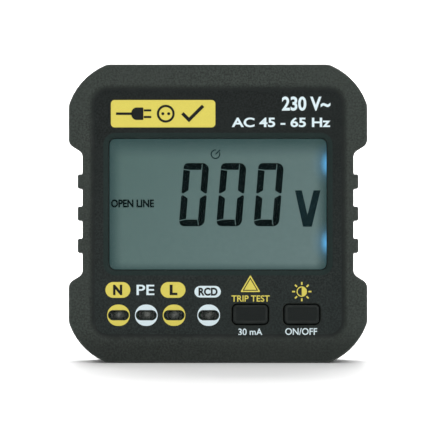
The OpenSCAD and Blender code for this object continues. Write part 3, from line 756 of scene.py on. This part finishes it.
def rear_shell():
    shape = Shape()
    seam = shape.loop(case(SEAM), PARTING)
    side = shape.loop(case(0), PARTING + SEAM)
    back_edge = edge_loops(shape, CASE_BACK, -1)
    shape.wall(seam, side, *reversed(back_edge))
    rows = [(TONGUE_IN, PARTING), (TONGUE_IN, TONGUE_END), (WALL, TONGUE_END), (WALL, REAR_INSIDE)]
    tongue = shape.layers(plain_case, rows)
    shape.plate(seam, tongue[0])
    shape.wall(*tongue)
    inside = [tongue[-1]]
    outside = [back_edge[0]]

    rows = [
        (REAR_POST_R, REAR_INSIDE), (REAR_POST_R, PARTING + FIT), (CASE_HOLE_R, PARTING + FIT),
        (CASE_HOLE_R, SCREW_SEAT), (CASE_HEAD_R, SCREW_SEAT), (CASE_HEAD_R, CASE_BACK - CHAMFER, 0.5),
        (CASE_HEAD_R + CHAMFER, CASE_BACK, 0.5),
    ]
    for x, z in CASE_SCREWS:
        shape.passage(partial(circle, x, z), rows, inside, outside)
    for way in (-1, 1):
        outline = partial(rect, 0, PLUG_Z + way * CLIP_OFFSET, *CLIP_SLOT)
        shape.passage(outline, [(0, REAR_INSIDE), (0, CASE_BACK)], inside, outside)

    rows = [(-BOSS_FOOT, CASE_BACK), (0, CASE_BACK + BOSS_FOOT)]
    rows += [(inset, BOSS_END - drop, wear_and_shade) for inset, drop, wear_and_shade in reversed(edge_rows(BOSS_EDGE))]
    boss_side = shape.layers(boss, rows)
    shape.wall(*boss_side)
    outside.append(boss_side[0])

    gap = moved_in(eared(*DOOR, EAR[0] + EAR_R, EAR_R), -DOOR_GAP)
    rows = [(0, DOOR_SEAT), (0, CASE_BACK - CHAMFER, 0.5), (-CHAMFER, CASE_BACK, 0.5)]
    recess = shape.layers(lambda inset: rounded(moved_in(gap, inset)), rows)
    shape.wall(*recess)
    outside.append(recess[-1])
    shape.plate(*outside)

    face = [boss_side[-1]]
    core_face = []
    shape.passage(boss_core, [(0, REAR_INSIDE), (0, CORE_END)], inside, core_face)
    for x, z, r in ((-PIN_X, PLUG_Z, PIN_ROOT_R), (PIN_X, PLUG_Z, PIN_ROOT_R), (0, EARTH_Z, TUBE_R)):
        hole_r = r + FIT
        rows = [(hole_r + CHAMFER, BOSS_END, 0.5), (hole_r, BOSS_END - CHAMFER, 0.5), (hole_r, CORE_END)]
        shape.passage(partial(circle, x, z), rows, face, core_face)
    shape.plate(*face)
    core_face += [post(shape, x, z, *RETAINER_POST) for x, z in RETAINER_SPOTS]
    shape.plate(*core_face)

    bay_under = BAY_FLOOR - BAY_WALL
    outer = eared(BAY[0] + BAY_WALL, WALL + 0.1, BAY[2] + BAY_WALL, EAR[0] + BAY_EAR_R, BAY_EAR_R)
    bay_outer = [shape.loop(rounded(outer), depth) for depth in (REAR_INSIDE, bay_under)]
    bay_size = (2 * BAY[0], BAY[2] - BAY[1], BAY_CORNER)
    bay_outline = partial(rect, 0, (BAY[1] + BAY[2]) / 2, *bay_size)
    bay_inner = shape.layers(bay_outline, [(0, BAY_FLOOR), (0, DOOR_SEAT)])
    shape.wall(*bay_outer)
    shape.wall(*bay_inner)
    inside.append(bay_outer[0])
    shape.plate(*inside)
    under = [bay_outer[1]]
    floor = [bay_inner[0]]
    for z, _ in CELLS.values():
        outline = partial(rect, PLATE_SLOT_X, z, *PLATE_SLOT)
        shape.passage(outline, [(0, bay_under), (0, BAY_FLOOR)], under, floor)
    shape.plate(*under)
    shape.plate(*floor)

    seat_rim = [bay_inner[1]]
    hole_r, hole_end = DOOR_HOLE
    for x, z in DOOR_SCREWS:
        mouth = shape.loop(circle(x, z, hole_r, 24), DOOR_SEAT)
        shape.blind_hole(mouth, x, z, hole_r, hole_end)
        seat_rim.append(mouth)
    shape.plate(recess[0], *seat_rim)
    shape.piece("rear_shell_body", "case", "case_plastic", [case_grey_and_painted_shade], "rear_shell")


# Front pieces


def button(name, x):
    """A push button with a dished face inside a raised rim."""
    shape = Shape()
    rows = [
        (-0.95, 0.36, 0.0), (-0.75, 0.3, 0.2), (-0.5, 0.2, 0.9), (-0.28, 0.22, 1.0), (-0.1, 0.34, 0.7),
        (0.0, 0.55, 0.2), (0.0, 3.0, 0.0), (1.1, 3.0, 0.0), (1.1, 3.7, 0.0),
    ]
    loops = shape.layers(partial(rect, x, BUTTON_Z, *BUTTON_CAP), rows)
    shape.wall(*loops)
    shape.plate(loops[0])
    rows = [(STEM_R, 3.7), (STEM_R, 4.25), (STEM_R - 0.15, 4.4)]
    stem = shape.layers(partial(circle, x, BUTTON_Z), rows)
    shape.plate(loops[-1], stem[0])
    shape.wall(*stem)
    shape.plate(stem[-1])
    body = f"{name}_button"
    shape.piece(f"{body}_cap", body, "button_plastic", [button_finish], body)


def display_window():
    """A clear pane with a chamfered face, held from inside by its flange."""
    shape = Shape()
    pane = shape.layers(window, [(-0.25, WINDOW_FACE), (-0.1, WINDOW_FACE + 0.12), (-0.1, WINDOW_STEP)])
    outline = partial(rect, 0, WINDOW_Z, *WINDOW_FLANGE)
    flange = shape.layers(outline, [(0, WINDOW_STEP), (0, WINDOW_BACK)])
    shape.solid(*pane, *flange)
    shape.piece("display_window_pane", "case", "window_clear", [window_finish], "display_window")


def indicator_lens():
    """One clear strip behind the panel with a nose in each slot."""
    shape = Shape()
    low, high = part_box("indicator_lens")
    x = (low.x + high.x) / 2 / MM
    z = (low.z + high.z) / 2 / MM
    size = ((high.x - low.x) / MM, (high.z - low.z) / MM, 0.5)
    face = 2.9
    front, back = shape.layers(partial(rect, x, z, *size), [(0, face), (0, high.y / MM - FRONT_Y)])
    shape.wall(front, back)
    shape.plate(back)
    feet = []
    for slot_x in SLOTS.values():
        rows = [(-0.1, face), (-0.1, 1.5), (-0.22, 1.25), (-0.45, 1.12)]
        nose = shape.layers(partial(stadium, slot_x, SLOT_Z, *SLOT_SIZE), rows)
        shape.wall(*nose)
        shape.plate(nose[-1])
        feet.append(nose[0])
    shape.plate(front, *feet)
    shape.piece("indicator_lens_strip", "case", "lens_clear", [lens_finish], "indicator_lens")


def indicator_led(name, x):
    """A domed LED with its collar."""
    shape = Shape()
    profile = [
        (0.25, 4.5), (0.7, 4.58), (1.1, 4.86), (1.38, 5.3), (1.5, 6.0), (1.5, 8.0), (1.9, 8.0), (1.9, 9.0),
    ]
    shape.turned(x, SLOT_Z, profile, sides=32)
    shape.piece(f"led_{name}_dome", "case", "lens_clear", [led_clear_painted_glint], f"led_{name}")


# Prints


def printed(name, finish, outlines, level=0, base=PANEL):
    """Flat marks a little proud of the surface they are printed on. outlines holds (outer, *holes)."""
    shape = Shape()
    foot = base - level * INK
    for outer, *holes in outlines:
        shape.prism(outer, foot - INK, foot, holes)
    shape.piece(name, "case", None, [finish])


def lettering(name, text, low, high, finish, level=0, base=PANEL, bold=0.0):
    """Plain letters that fill the box from low to high."""
    curve = bpy.data.curves.new(name, "FONT")
    curve.body = text
    curve.offset = bold
    curve.extrude = 0.5
    curve.resolution_u = 6
    drawn = linked(name, curve)
    bpy.context.view_layer.update()
    mesh = bpy.data.meshes.new_from_object(drawn.evaluated_get(bpy.context.evaluated_depsgraph_get()))
    bpy.data.objects.remove(drawn)
    xs = [vert.co.x for vert in mesh.vertices]
    ys = [vert.co.y for vert in mesh.vertices]
    foot = base - level * INK
    for vert in mesh.vertices:
        x = low[0] + (vert.co.x - min(xs)) / (max(xs) - min(xs)) * (high[0] - low[0])
        z = low[1] + (vert.co.y - min(ys)) / (max(ys) - min(ys)) * (high[1] - low[1])
        vert.co = place(x, foot - INK * (0.5 + vert.co.z), z)
    tidy = bmesh.new()
    tidy.from_mesh(mesh)
    bmesh.ops.remove_doubles(tidy, verts=tidy.verts, dist=1e-7)
    bmesh.ops.recalc_face_normals(tidy, faces=tidy.faces)
    tidy.to_mesh(mesh)
    tidy.free()
    mesh.materials.clear()
    return finished(mesh, name, "case", None, [finish])


def band(path, width):
    """The outline of an open line drawn with a pen of that width."""
    spots = [Vector(spot) for spot in path]
    left = []
    right = []
    for i, spot in enumerate(spots):
        before = (spot - spots[i - 1]).normalized() if i else Vector((0, 0))
        after = (spots[i + 1] - spot).normalized() if i + 1 < len(spots) else Vector((0, 0))
        along = (before + after).normalized()
        lean = max(along.dot(before if i else after), 0.3)
        side = Vector((along.y, -along.x)) * (width / 2 / lean)
        right.append(spot + side)
        left.append(spot - side)
    return right + left[::-1]


def arc(x, z, r, start, end, steps=24):
    """Points along part of a circle, between two angles in degrees."""
    turns = [math.radians(start + (end - start) * k / steps) for k in range(steps + 1)]
    return [Vector((x + r * math.cos(turn), z + r * math.sin(turn))) for turn in turns]


def indicator_prints():
    rings = {"yellow": (yellow_ink, "neutral", "live"), "pale": (pale_ink, "earth", "rcd")}
    for name, (finish, *slots) in rings.items():
        marks = []
        for x in (SLOTS[slot] for slot in slots):
            hole = stadium(x, SLOT_Z, *SLOT_SIZE, CHAMFER + 0.04)
            marks.append((rect(x, SLOT_Z, 5.45, 5.15, 2.55), hole))
        printed(f"{name}_ring_marks", finish, marks)
    pill_spots = (SLOTS["neutral"] - 0.15, SLOTS["live"] - 0.25)
    printed("terminal_pills", yellow_ink, [(stadium(x, 17.6, 6.0, 3.8),) for x in pill_spots])
    printed("rcd_pill", pale_ink, [(stadium(-2.5, 17.17, 6.35, 2.8),)])
    lettering("letter_n", "N", (-25.3, 16.35), (-23.1, 18.85), dark_ink_and_painted_shadow, 1, bold=0.05)
    lettering("letter_l", "L", (-11.65, 16.35), (-9.8, 18.85), dark_ink_and_painted_shadow, 1, bold=0.045)
    lettering("letters_pe", "PE", (-19.65, 16.35), (-15.35, 18.85), pale_ink, bold=0.012)
    lettering("letters_rcd", "RCD", (-4.7, 16.2), (-0.1, 18.15), dark_ink_and_painted_shadow, 1, bold=0.04)


def button_prints():
    x = BUTTONS["rcd"]
    big = [(x - 2.42, 17.1, 0.15), (x + 2.42, 17.1, 0.15), (x, 21.2, 0.15)]
    printed("triangle_frame", yellow_ink, [(rounded(big), rounded(moved_in(big, 0.3)))])
    printed("triangle_heart", yellow_ink, [(rounded(moved_in(big, 0.52)),)])
    lettering("trip_legend", "TRIP TEST", (x - 4.55, 14.75), (x + 4.65, 16.3), yellow_ink, bold=0.015)
    lettering("trip_level", "30 mA", (x - 2.9, 6.65), (x + 2.9, 8.3), pale_ink, bold=0.015)

    x = BUTTONS["power"]
    z = 17.2
    printed("sun_ring", yellow_ink, [(circle(x, z, 1.25, 40), circle(x, z, 1.0, 40))])
    printed("sun_half", yellow_ink, [(arc(x, z, 1.02, -90, 90),)])
    rays = []
    for k in range(8):
        turn = math.pi / 4 * k
        way = Vector((math.cos(turn), math.sin(turn)))
        rays.append((band([Vector((x, z)) + way * 1.62, Vector((x, z)) + way * 2.32], 0.36),))
    printed("sun_rays", yellow_ink, rays)
    lettering("switch_legend", "ON/OFF", (x - 4.0, 6.75), (x + 3.7, 8.4), pale_ink, bold=0.015)


def header_prints():
    """A plain yellow badge with plug, socket and tick signs, and a rating in place of names."""
    mid = (-13.24, 60.1)
    printed("badge_plate", yellow_ink, [(rect(*mid, 25.2, 6.6, 0.9),)])
    z = mid[1]
    cord = band([(-24.6, z), (-20.7, z)], 0.6)
    plug = [(-18.0, z - 1.5, 0.2), (-18.0, z + 1.5, 0.2), (-20.9, z + 1.5, 1.3), (-20.9, z - 1.5, 1.3)]
    prongs = [band([(-17.9, z + rise), (-16.1, z + rise)], 0.5) for rise in (-0.8, 0.8)]
    printed("badge_plug_sign", dark_ink_and_painted_shadow, [(cord,), (rounded(plug),), *[(prong,) for prong in prongs]], 1)
    ring = (circle(-12.6, z, 2.15), circle(-12.6, z, 1.6))
    holes = [(circle(x, z, 0.36, 20),) for x in (-13.3, -11.9)]
    printed("badge_socket_sign", dark_ink_and_painted_shadow, [ring, *holes], 1)
    tick = band([(-8.6, z + 0.1), (-7.0, z - 1.5), (-3.6, z + 1.9)], 0.8)
    printed("badge_tick_sign", dark_ink_and_painted_shadow, [(tick,)], 1)
    lettering("rating_voltage", "230 V~", (15.4, 60.8), (27.1, 64.25), pale_ink, bold=0.03)
    lettering("rating_frequency", "AC 45 - 65 Hz", (3.3, 56.85), (27.1, 59.2), pale_ink, bold=0.025)


# Display

GLASS_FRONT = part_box("lcd_glass")[0].y / MM - FRONT_Y
DIGIT_LOW = 32.95
DIGIT_H = 15.3
DIGIT_W = 6.16
SEGMENT = 1.62
DIGIT_SLANT = 0.082
DIGITS = [-9.5, -0.47, 8.56]


def digit_segments():
    """The six lit segments of a 0, about its lower left corner."""
    w, h, t = DIGIT_W, DIGIT_H, SEGMENT
    waist_top, waist_low = 7.9, 7.53
    shoulder_top, shoulder_low = 8.7, 6.75
    top = [
        (0, h - 1.42, 0), (t - 0.1, h - 1.66, 0), (w - t - 0.2, h - 1.66, 0), (w - t - 0.12, h, 0),
        (0, h, 1.15),
    ]
    upper_right = [
        (w - t, h, 0), (w - t, shoulder_top, 0.05), (w - 0.4, waist_top, 0.1), (w, waist_top + 0.2, 0.1),
        (w, h, 1.6),
    ]
    lower_right = [
        (w - 0.4, waist_low, 0.1), (w - t, shoulder_low, 0.05), (w - t - 0.02, 1.5, 0), (w - 1.25, 0, 0),
        (w, 0, 1.6), (w, waist_low - 0.2, 0.1),
    ]
    bottom = [(0.02, 1.22, 0), (0, 0, 1.2), (w - 1.45, 0, 0), (w - t - 0.2, 1.62, 0), (t - 0.05, 1.62, 0)]
    lower_left = [
        (0, 1.45, 0), (t, 1.8, 0), (t, shoulder_low, 0.05), (0.4, waist_low, 0.1), (0, waist_low - 0.2, 0.1),
    ]
    upper_left = [
        (0, waist_top + 0.2, 0.1), (0.4, waist_top, 0.1), (t, shoulder_top, 0.05), (t, h - 1.88, 0),
        (0, h - 1.6, 0),
    ]
    return [top, upper_right, lower_right, bottom, lower_left, upper_left]


def display():
    marks = []
    for left in DIGITS:
        for corners in digit_segments():
            leaned = [(left + x + DIGIT_SLANT * z, DIGIT_LOW + z, r) for x, z, r in corners]
            marks.append((rounded(leaned),))
    printed("display_digits", segment_finish, marks, base=GLASS_FRONT)
    low, high = 32.85, 41.65
    x = 18.6
    stroke = 1.68
    letter = [
        (x, high), (x + 1.95, low), (x + 4.1, low), (x + 6.19, high), (x + 6.19 - stroke, high),
        (x + 3.05, low + 2.9), (x + stroke, high),
    ]
    printed("display_volt_sign", sign_finish, [(letter,)], base=GLASS_FRONT)
    # A painted shadow: a dark ring along the window's edge on the display glass, where the frame shades it.
    w, h, r = WINDOW_SIZE
    ring = (rect(0, WINDOW_Z, w + 0.6, h + 0.6, r), window(-0.2))
    printed("display_frame_shadow", dark_ink_and_painted_shadow, [ring], base=GLASS_FRONT)
    spot = (-0.62, 50.38)
    dial = band(arc(*spot, 1.03, 82, 388), 0.28)
    hand = band([spot, (spot[0] + 1.15, spot[1] + 1.05)], 0.28)
    printed("display_timer_sign", sign_finish, [(dial,), (hand,)], base=GLASS_FRONT)
    low, high = (-25.9, 37.5), (-15.5, 39.45)
    lettering("display_legend", "OPEN LINE", low, high, segment_finish, base=GLASS_FRONT, bold=0.04)


# Back pieces


def contact_pin(name, x):
    """A round pin with its shank, collar, root and rounded tip."""
    shape = Shape()
    profile = [
        (1.8, 34.0), (2.0, 34.2, 0.4), (2.0, 42.0), (3.85, 42.0), (4.0, 42.15, 0.4),
        (4.0, CORE_END - 0.15, 0.4), (3.85, CORE_END), (PIN_ROOT_R, CORE_END), (PIN_ROOT_R, BOSS_END - 0.15),
        (PIN_ROOT_R - 0.15, BOSS_END, 0.6), (PIN_R + 0.06, BOSS_END), (PIN_R, BOSS_END + 0.08),
    ]
    steps = 8
    for k in range(steps + 1):
        turn = math.pi / 2 * k / steps
        r = PIN_R - PIN_TIP_R + PIN_TIP_R * math.cos(turn)
        depth = PIN_END - PIN_TIP_R + PIN_TIP_R * math.sin(turn)
        profile.append((r, depth, 0.5 * smooth(k / steps)))
    shape.turned(x, PLUG_Z, profile)
    shape.piece(f"{name}_pin_rod", "case", "brass", [brass_and_bore_shade], f"{name}_pin")


def earth_socket():
    shape = Shape()
    end = BOSS_END - 0.6
    # The bore's deeper rows turn dark with painted shade.
    profile = [
        (TUBE_R - 0.15, REAR_INSIDE), (TUBE_R, REAR_INSIDE + 0.15), (TUBE_R, end - 0.2, 0.4),
        (TUBE_R - 0.18, end, 0.8), (EARTH_BORE_R + 0.25, end, 0.8), (EARTH_BORE_R, end - 0.3, 0.5),
        (EARTH_BORE_R, end - 5.0, -0.7), (EARTH_BORE_R, end - 14.9, -1.0),
    ]
    shape.turned(0, EARTH_Z, profile)
    shape.piece("earth_socket_tube", "case", "brass", [brass_and_bore_shade], "earth_socket")


def earth_strap():
    """One bent strip: a bar behind the rear wall and two sprung legs that bow out of the boss."""
    bow_start, leg_end, bend, middle = 31.0, 46.4, 1.4, 27.5
    leg = [(CLIP_OFFSET, middle + bend + 0.6)]
    for k in range(17):
        depth = bow_start + (leg_end - bow_start) * k / 16
        leg.append((CLIP_OFFSET - 0.1 + 1.45 * math.sin(math.pi * k / 17), depth))
    corner = arc(CLIP_OFFSET - bend, middle + bend, bend, -90, 0, 8)
    half = [(0.0, middle), *[tuple(spot) for spot in corner], *leg]
    path = [(-a, d) for a, d in reversed(half[1:])] + half
    shape = Shape(lambda a, x, d: place(x, d, PLUG_Z + a))
    outline = band(path, 0.85)
    half_w = 2.95
    shape.solid(*[shape.loop(outline, x) for x in (-half_w, half_w)])
    strap = shape.piece("earth_strap_clip", "case", "strap_metal", [strap_finish], "earth_strap")
    bevel = strap.modifiers.new("edges", "BEVEL")
    bevel.width = 0.12 * MM
    bevel.segments = 2
    bevel.limit_method = "ANGLE"
    strap.modifiers.move(1, 0)


def cross(x, z, reach, half):
    """A cross recess's outline."""
    arm = [(reach, -half, 0.08), (reach, half, 0.08), (half, half, 0.05)]
    corners = []
    for quarter in range(4):
        spin = Matrix.Rotation(quarter * math.pi / 2, 2)
        for a, b, r in arm:
            spot = spin @ Vector((a, b))
            corners.append((x + spot.x, z + spot.y, r))
    return rounded(corners)


def screw(shape, x, z, tip, seat, r, head_r, head_t):
    """A screw with rings for its thread and a cross recess in its rounded head."""
    pitch = 0.8
    turns = int((seat - 0.6 - tip - r) / pitch)
    rows = [(r * 0.35, tip), (r * 0.8, tip + r * 0.7)]
    for k in range(turns):
        start = tip + r + k * pitch
        rows += [(r - 0.22, start), (r, start + pitch * 0.5, 0.3)]
    rows += [(r - 0.1, seat - 0.5), (r - 0.1, seat), (head_r - 0.1, seat), (head_r, seat + 0.15, 0.4)]
    for shrink, rise, wear_and_shade in ((1.0, 0.55, 0.4), (0.93, 0.85, 0.8), (0.8, 1.0, 0.4)):
        rows.append((head_r * shrink, seat + head_t * rise, wear_and_shade))
    loops = shape.layers(partial(circle, x, z, sides=32), rows)
    shape.wall(*loops)
    shape.plate(loops[0])
    mouth = shape.loop(cross(x, z, head_r * 0.6, head_r * 0.15), seat + head_t, 0.6)
    floor = shape.loop(cross(x, z, head_r * 0.36, head_r * 0.1), seat + head_t * 0.35)
    shape.plate(loops[-1], mouth)
    shape.wall(mouth, floor)
    shape.plate(floor)


def screws():
    sets = [
        ("case", "case", CASE_SCREWS, CASE_SCREW), ("door", "battery_door", DOOR_SCREWS, DOOR_SCREW),
        ("board", "case", BOARD_SCREWS, BOARD_SCREW),
    ]
    for name, body, spots, sizes in sets:
        shape = Shape()
        for x, z in spots:
            screw(shape, x, z, *sizes)
        shape.piece(f"{name}_screw_set", body, "screw_steel", [steel_finish], f"{name}_screws")


def battery_door():
    """A flat cover with a screw hole in each ear and thumb grooves."""
    shape = Shape()
    corners = eared(*DOOR, EAR[0] + EAR_R, EAR_R)
    front = DOOR_SEAT + FIT
    rim = CASE_BACK - 0.12
    rows = [
        (0.1, front), (0, DOOR_SEAT + 0.15), (0, CASE_BACK - 0.4, 0.1), (0.12, rim, 0.8),
        (0.4, CASE_BACK, 0.1),
    ]
    inner = []
    outer = []
    shape.passage(lambda inset: rounded(moved_in(corners, inset)), rows, inner, outer)
    hole_r, head_r = 1.1, 2.1
    rows = [
        (hole_r, front), (hole_r, DOOR_HEAD_SEAT), (head_r, DOOR_HEAD_SEAT), (head_r, rim, 0.5),
        (head_r + 0.12, CASE_BACK, 0.5),
    ]
    for x, z in DOOR_SCREWS:
        shape.passage(partial(circle, x, z, sides=32), rows, inner, outer)
    for k in range(5):
        z = 6.5 + 1.6 * k
        lip = shape.loop(stadium(0, z, 14.2, 0.9), CASE_BACK, 0.7)
        mid = shape.loop(stadium(0, z, 14.0, 0.66), CASE_BACK - 0.18)
        low = shape.loop(stadium(0, z, 13.8, 0.4), CASE_BACK - 0.4)
        shape.wall(lip, mid, low)
        shape.plate(low)
        outer.append(lip)
    shape.plate(*inner)
    shape.plate(*outer)
    shape.piece("battery_door_cover", "battery_door", "case_plastic", [case_grey_and_painted_shade], "battery_door")


def cell(name, z, way):
    """One cell: steel can, printed sleeve with a band near its nub, and the nub."""
    start = way * (CELL_TIP - CELL_LENGTH)
    shape = Shape(lambda a, t, b: place(start + way * t, CELL_DEPTH + a, z + b))
    profile = [
        (3.4, 0.12, 0), (3.6, 0.0, 0), (4.5, 0.0, 0), (4.75, 0.2, 0), (4.85, 0.45, 0), (5.1, 0.4, 1),
        (5.2, 0.65, 1), (5.2, 34.0, 1), (5.2, 42.9, 2), (5.1, 43.35, 2), (4.8, 43.3, 2), (4.7, 43.45, 0),
        (4.3, 43.6, 0), (2.7, 43.6, 0), (2.5, 43.5, 0), (2.1, 43.5, 0), (1.9, 43.7, 0), (1.9, 44.2, 0),
        (1.6, CELL_LENGTH, 0),
    ]
    loops = [shape.loop(circle(0, 0, r, 56), t) for r, t, _ in profile]
    for i in range(1, len(loops)):
        shape.wall(loops[i - 1], loops[i], finish=profile[i][2])
    shape.plate(loops[0])
    shape.plate(loops[-1])
    finishes = [can_finish, sleeve_finish, band_finish]
    shape.piece(f"{name}_battery_cell", "case", "cell_can", finishes, f"{name}_cell")


def cell_spring(name, z, way):
    """A conical coil from its plate to the flat end of a cell."""
    wire, wide, narrow, turns, steps = 0.3, 3.6, 2.4, 3.5, 28
    length = PLATE_X - (CELL_LENGTH - CELL_TIP) - 2 * wire
    shape = Shape()
    count = int(turns * steps)
    loops = []
    for k in range(count + 1):
        along = k / count
        turn = 2 * math.pi * k / steps
        spots = []
        for j in range(12):
            lean = 2 * math.pi * j / 12
            out = wide + (narrow - wide) * along + wire * math.cos(lean)
            rise = wire + length * smooth(min(max(along * 1.3 - 0.15, 0), 1)) + wire * math.sin(lean)
            depth = CELL_DEPTH + out * math.cos(turn)
            spots.append(place(way * (rise - PLATE_X), depth, z + out * math.sin(turn)))
        loops.append(shape.ring(spots))
    shape.solid(*loops)
    finishes = [contact_finish]
    shape.piece(f"{name}_cell_coil", "case", "contact_metal", finishes, f"{name}_cell_spring")


front_shell()
rear_shell()
display_window()
indicator_lens()
for slot_name, slot_x in SLOTS.items():
    indicator_led(slot_name, slot_x)
for button_name, button_x in BUTTONS.items():
    button(button_name, button_x)
indicator_prints()
button_prints()
header_prints()
display()
contact_pin("live", PIN_X)
contact_pin("neutral", -PIN_X)
earth_socket()
earth_strap()
screws()
battery_door()
for cell_name, (cell_z, cell_way) in CELLS.items():
    cell(cell_name, cell_z, cell_way)
    cell_spring(cell_name, cell_z, cell_way)

# CAD pieces that keep their shape

KEPT = [
    (lcd_glow_and_edge_shade, ["lcd_glass"]),
    (guide_finish, ["light_guide", "backlight_led_upper", "backlight_led_lower"]),
    (white_finish, ["lcd_frame", "pin_retainer"]),
    (rubber_finish, ["contact_strip"]),
    (mask_finish, ["circuit_board"]),
    (black_finish, ["rcd_switch", "power_switch", "rcd_plunger", "power_plunger"]),
    (black_finish, ["controller_chip", "test_triac"]),
    (ceramic_finish, ["load_resistor_left", "load_resistor_right"]),
    (steel_finish, ["retainer_screws"]),
    (contact_finish, ["contact_bridge", "contact_positive", "contact_negative"]),
]
for lead_name, lead_colour in LEADS.items():
    lead_finish = surface(f"lead_{lead_name}", lead_colour, 0.45, 0.4, 0.006, 0.05)
    KEPT.append((lead_finish, [f"{lead_name}_lead"]))
for kept_finish, node_names in KEPT:
    for node_name in node_names:
        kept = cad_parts[node_name]
        kept.data.materials.clear()
        kept.data.materials.append(kept_finish)



# Studio

VIEW_WIDTH = 106.75  # of the picture, at the object

def studio():
    """A pale floor that curves up behind the object, and a plain white world light."""
    make = Finish("studio_floor")
    make.set(Base_Color=(0.82, 0.82, 0.82), Roughness=0.6, Specular_IOR_Level=0.2)
    width, front, back, bend = 3.0, -1.2, 0.9, 0.5
    profile = [(front, 0.0)]
    for k in range(13):
        turn = math.pi / 2 * k / 12
        profile.append((back + bend * math.sin(turn), bend * (1 - math.cos(turn))))
    profile.append((back + bend, 2.2))
    mesh = bpy.data.meshes.new("studio_floor")
    verts = [(side * width, y, z) for y, z in profile for side in (-1, 1)]
    faces = [(2 * i, 2 * i + 1, 2 * i + 3, 2 * i + 2) for i in range(len(profile) - 1)]
    mesh.from_pydata(verts, [], faces)
    mesh.shade_smooth()
    mesh.materials.append(make.material)
    linked("studio_floor", mesh)

    world = bpy.data.worlds.new("studio")
    world.use_nodes = True
    sky = world.node_tree.nodes["Background"].inputs
    sky["Color"].default_value = (1.0, 1.0, 1.0, 1.0)
    sky["Strength"].default_value = 0.7
    bpy.context.scene.world = world


def aimed(name, data, spot, aim):
    """A lamp or camera at one point that looks at another."""
    holder = linked(name, data)
    holder.location = spot
    holder.rotation_euler = (Vector(aim) - Vector(spot)).to_track_quat("-Z", "Y").to_euler()
    return holder


def lamp(name, spot, aim, size, power):
    light = bpy.data.lights.new(name, "AREA")
    light.shape = "SQUARE"
    light.size = size
    light.energy = power
    aimed(name, light, spot, aim)


def camera():
    """Square to the front and far away, at about half the object's height."""
    distance = 1000.0
    aim = place(0.84, 0, 34.1)
    spot = place(0.84, -distance, 33.0)
    data = bpy.data.cameras.new("camera")
    data.sensor_width = 36.0
    data.lens = data.sensor_width * (spot - aim).length / MM / VIEW_WIDTH
    data.clip_start = 0.01
    bpy.context.scene.camera = aimed("camera", data, spot, aim)


studio()
lamp("key", (-0.1, 1.25, 0.52), (0, -0.15, 0.0), 1.0, 22.0)
lamp("top", (0.1, -0.1, 1.3), (0, 0, 0.03), 0.9, 3.0)
lamp("fill", (0.5, -0.9, 0.6), (0, 0, 0.03), 0.8, 3.0)
lamp("backdrop", (0.0, 0.45, 0.9), (0.0, 1.4, 0.8), 1.0, 8.0)
camera()
bpy.context.scene.view_settings.view_transform = "Standard"
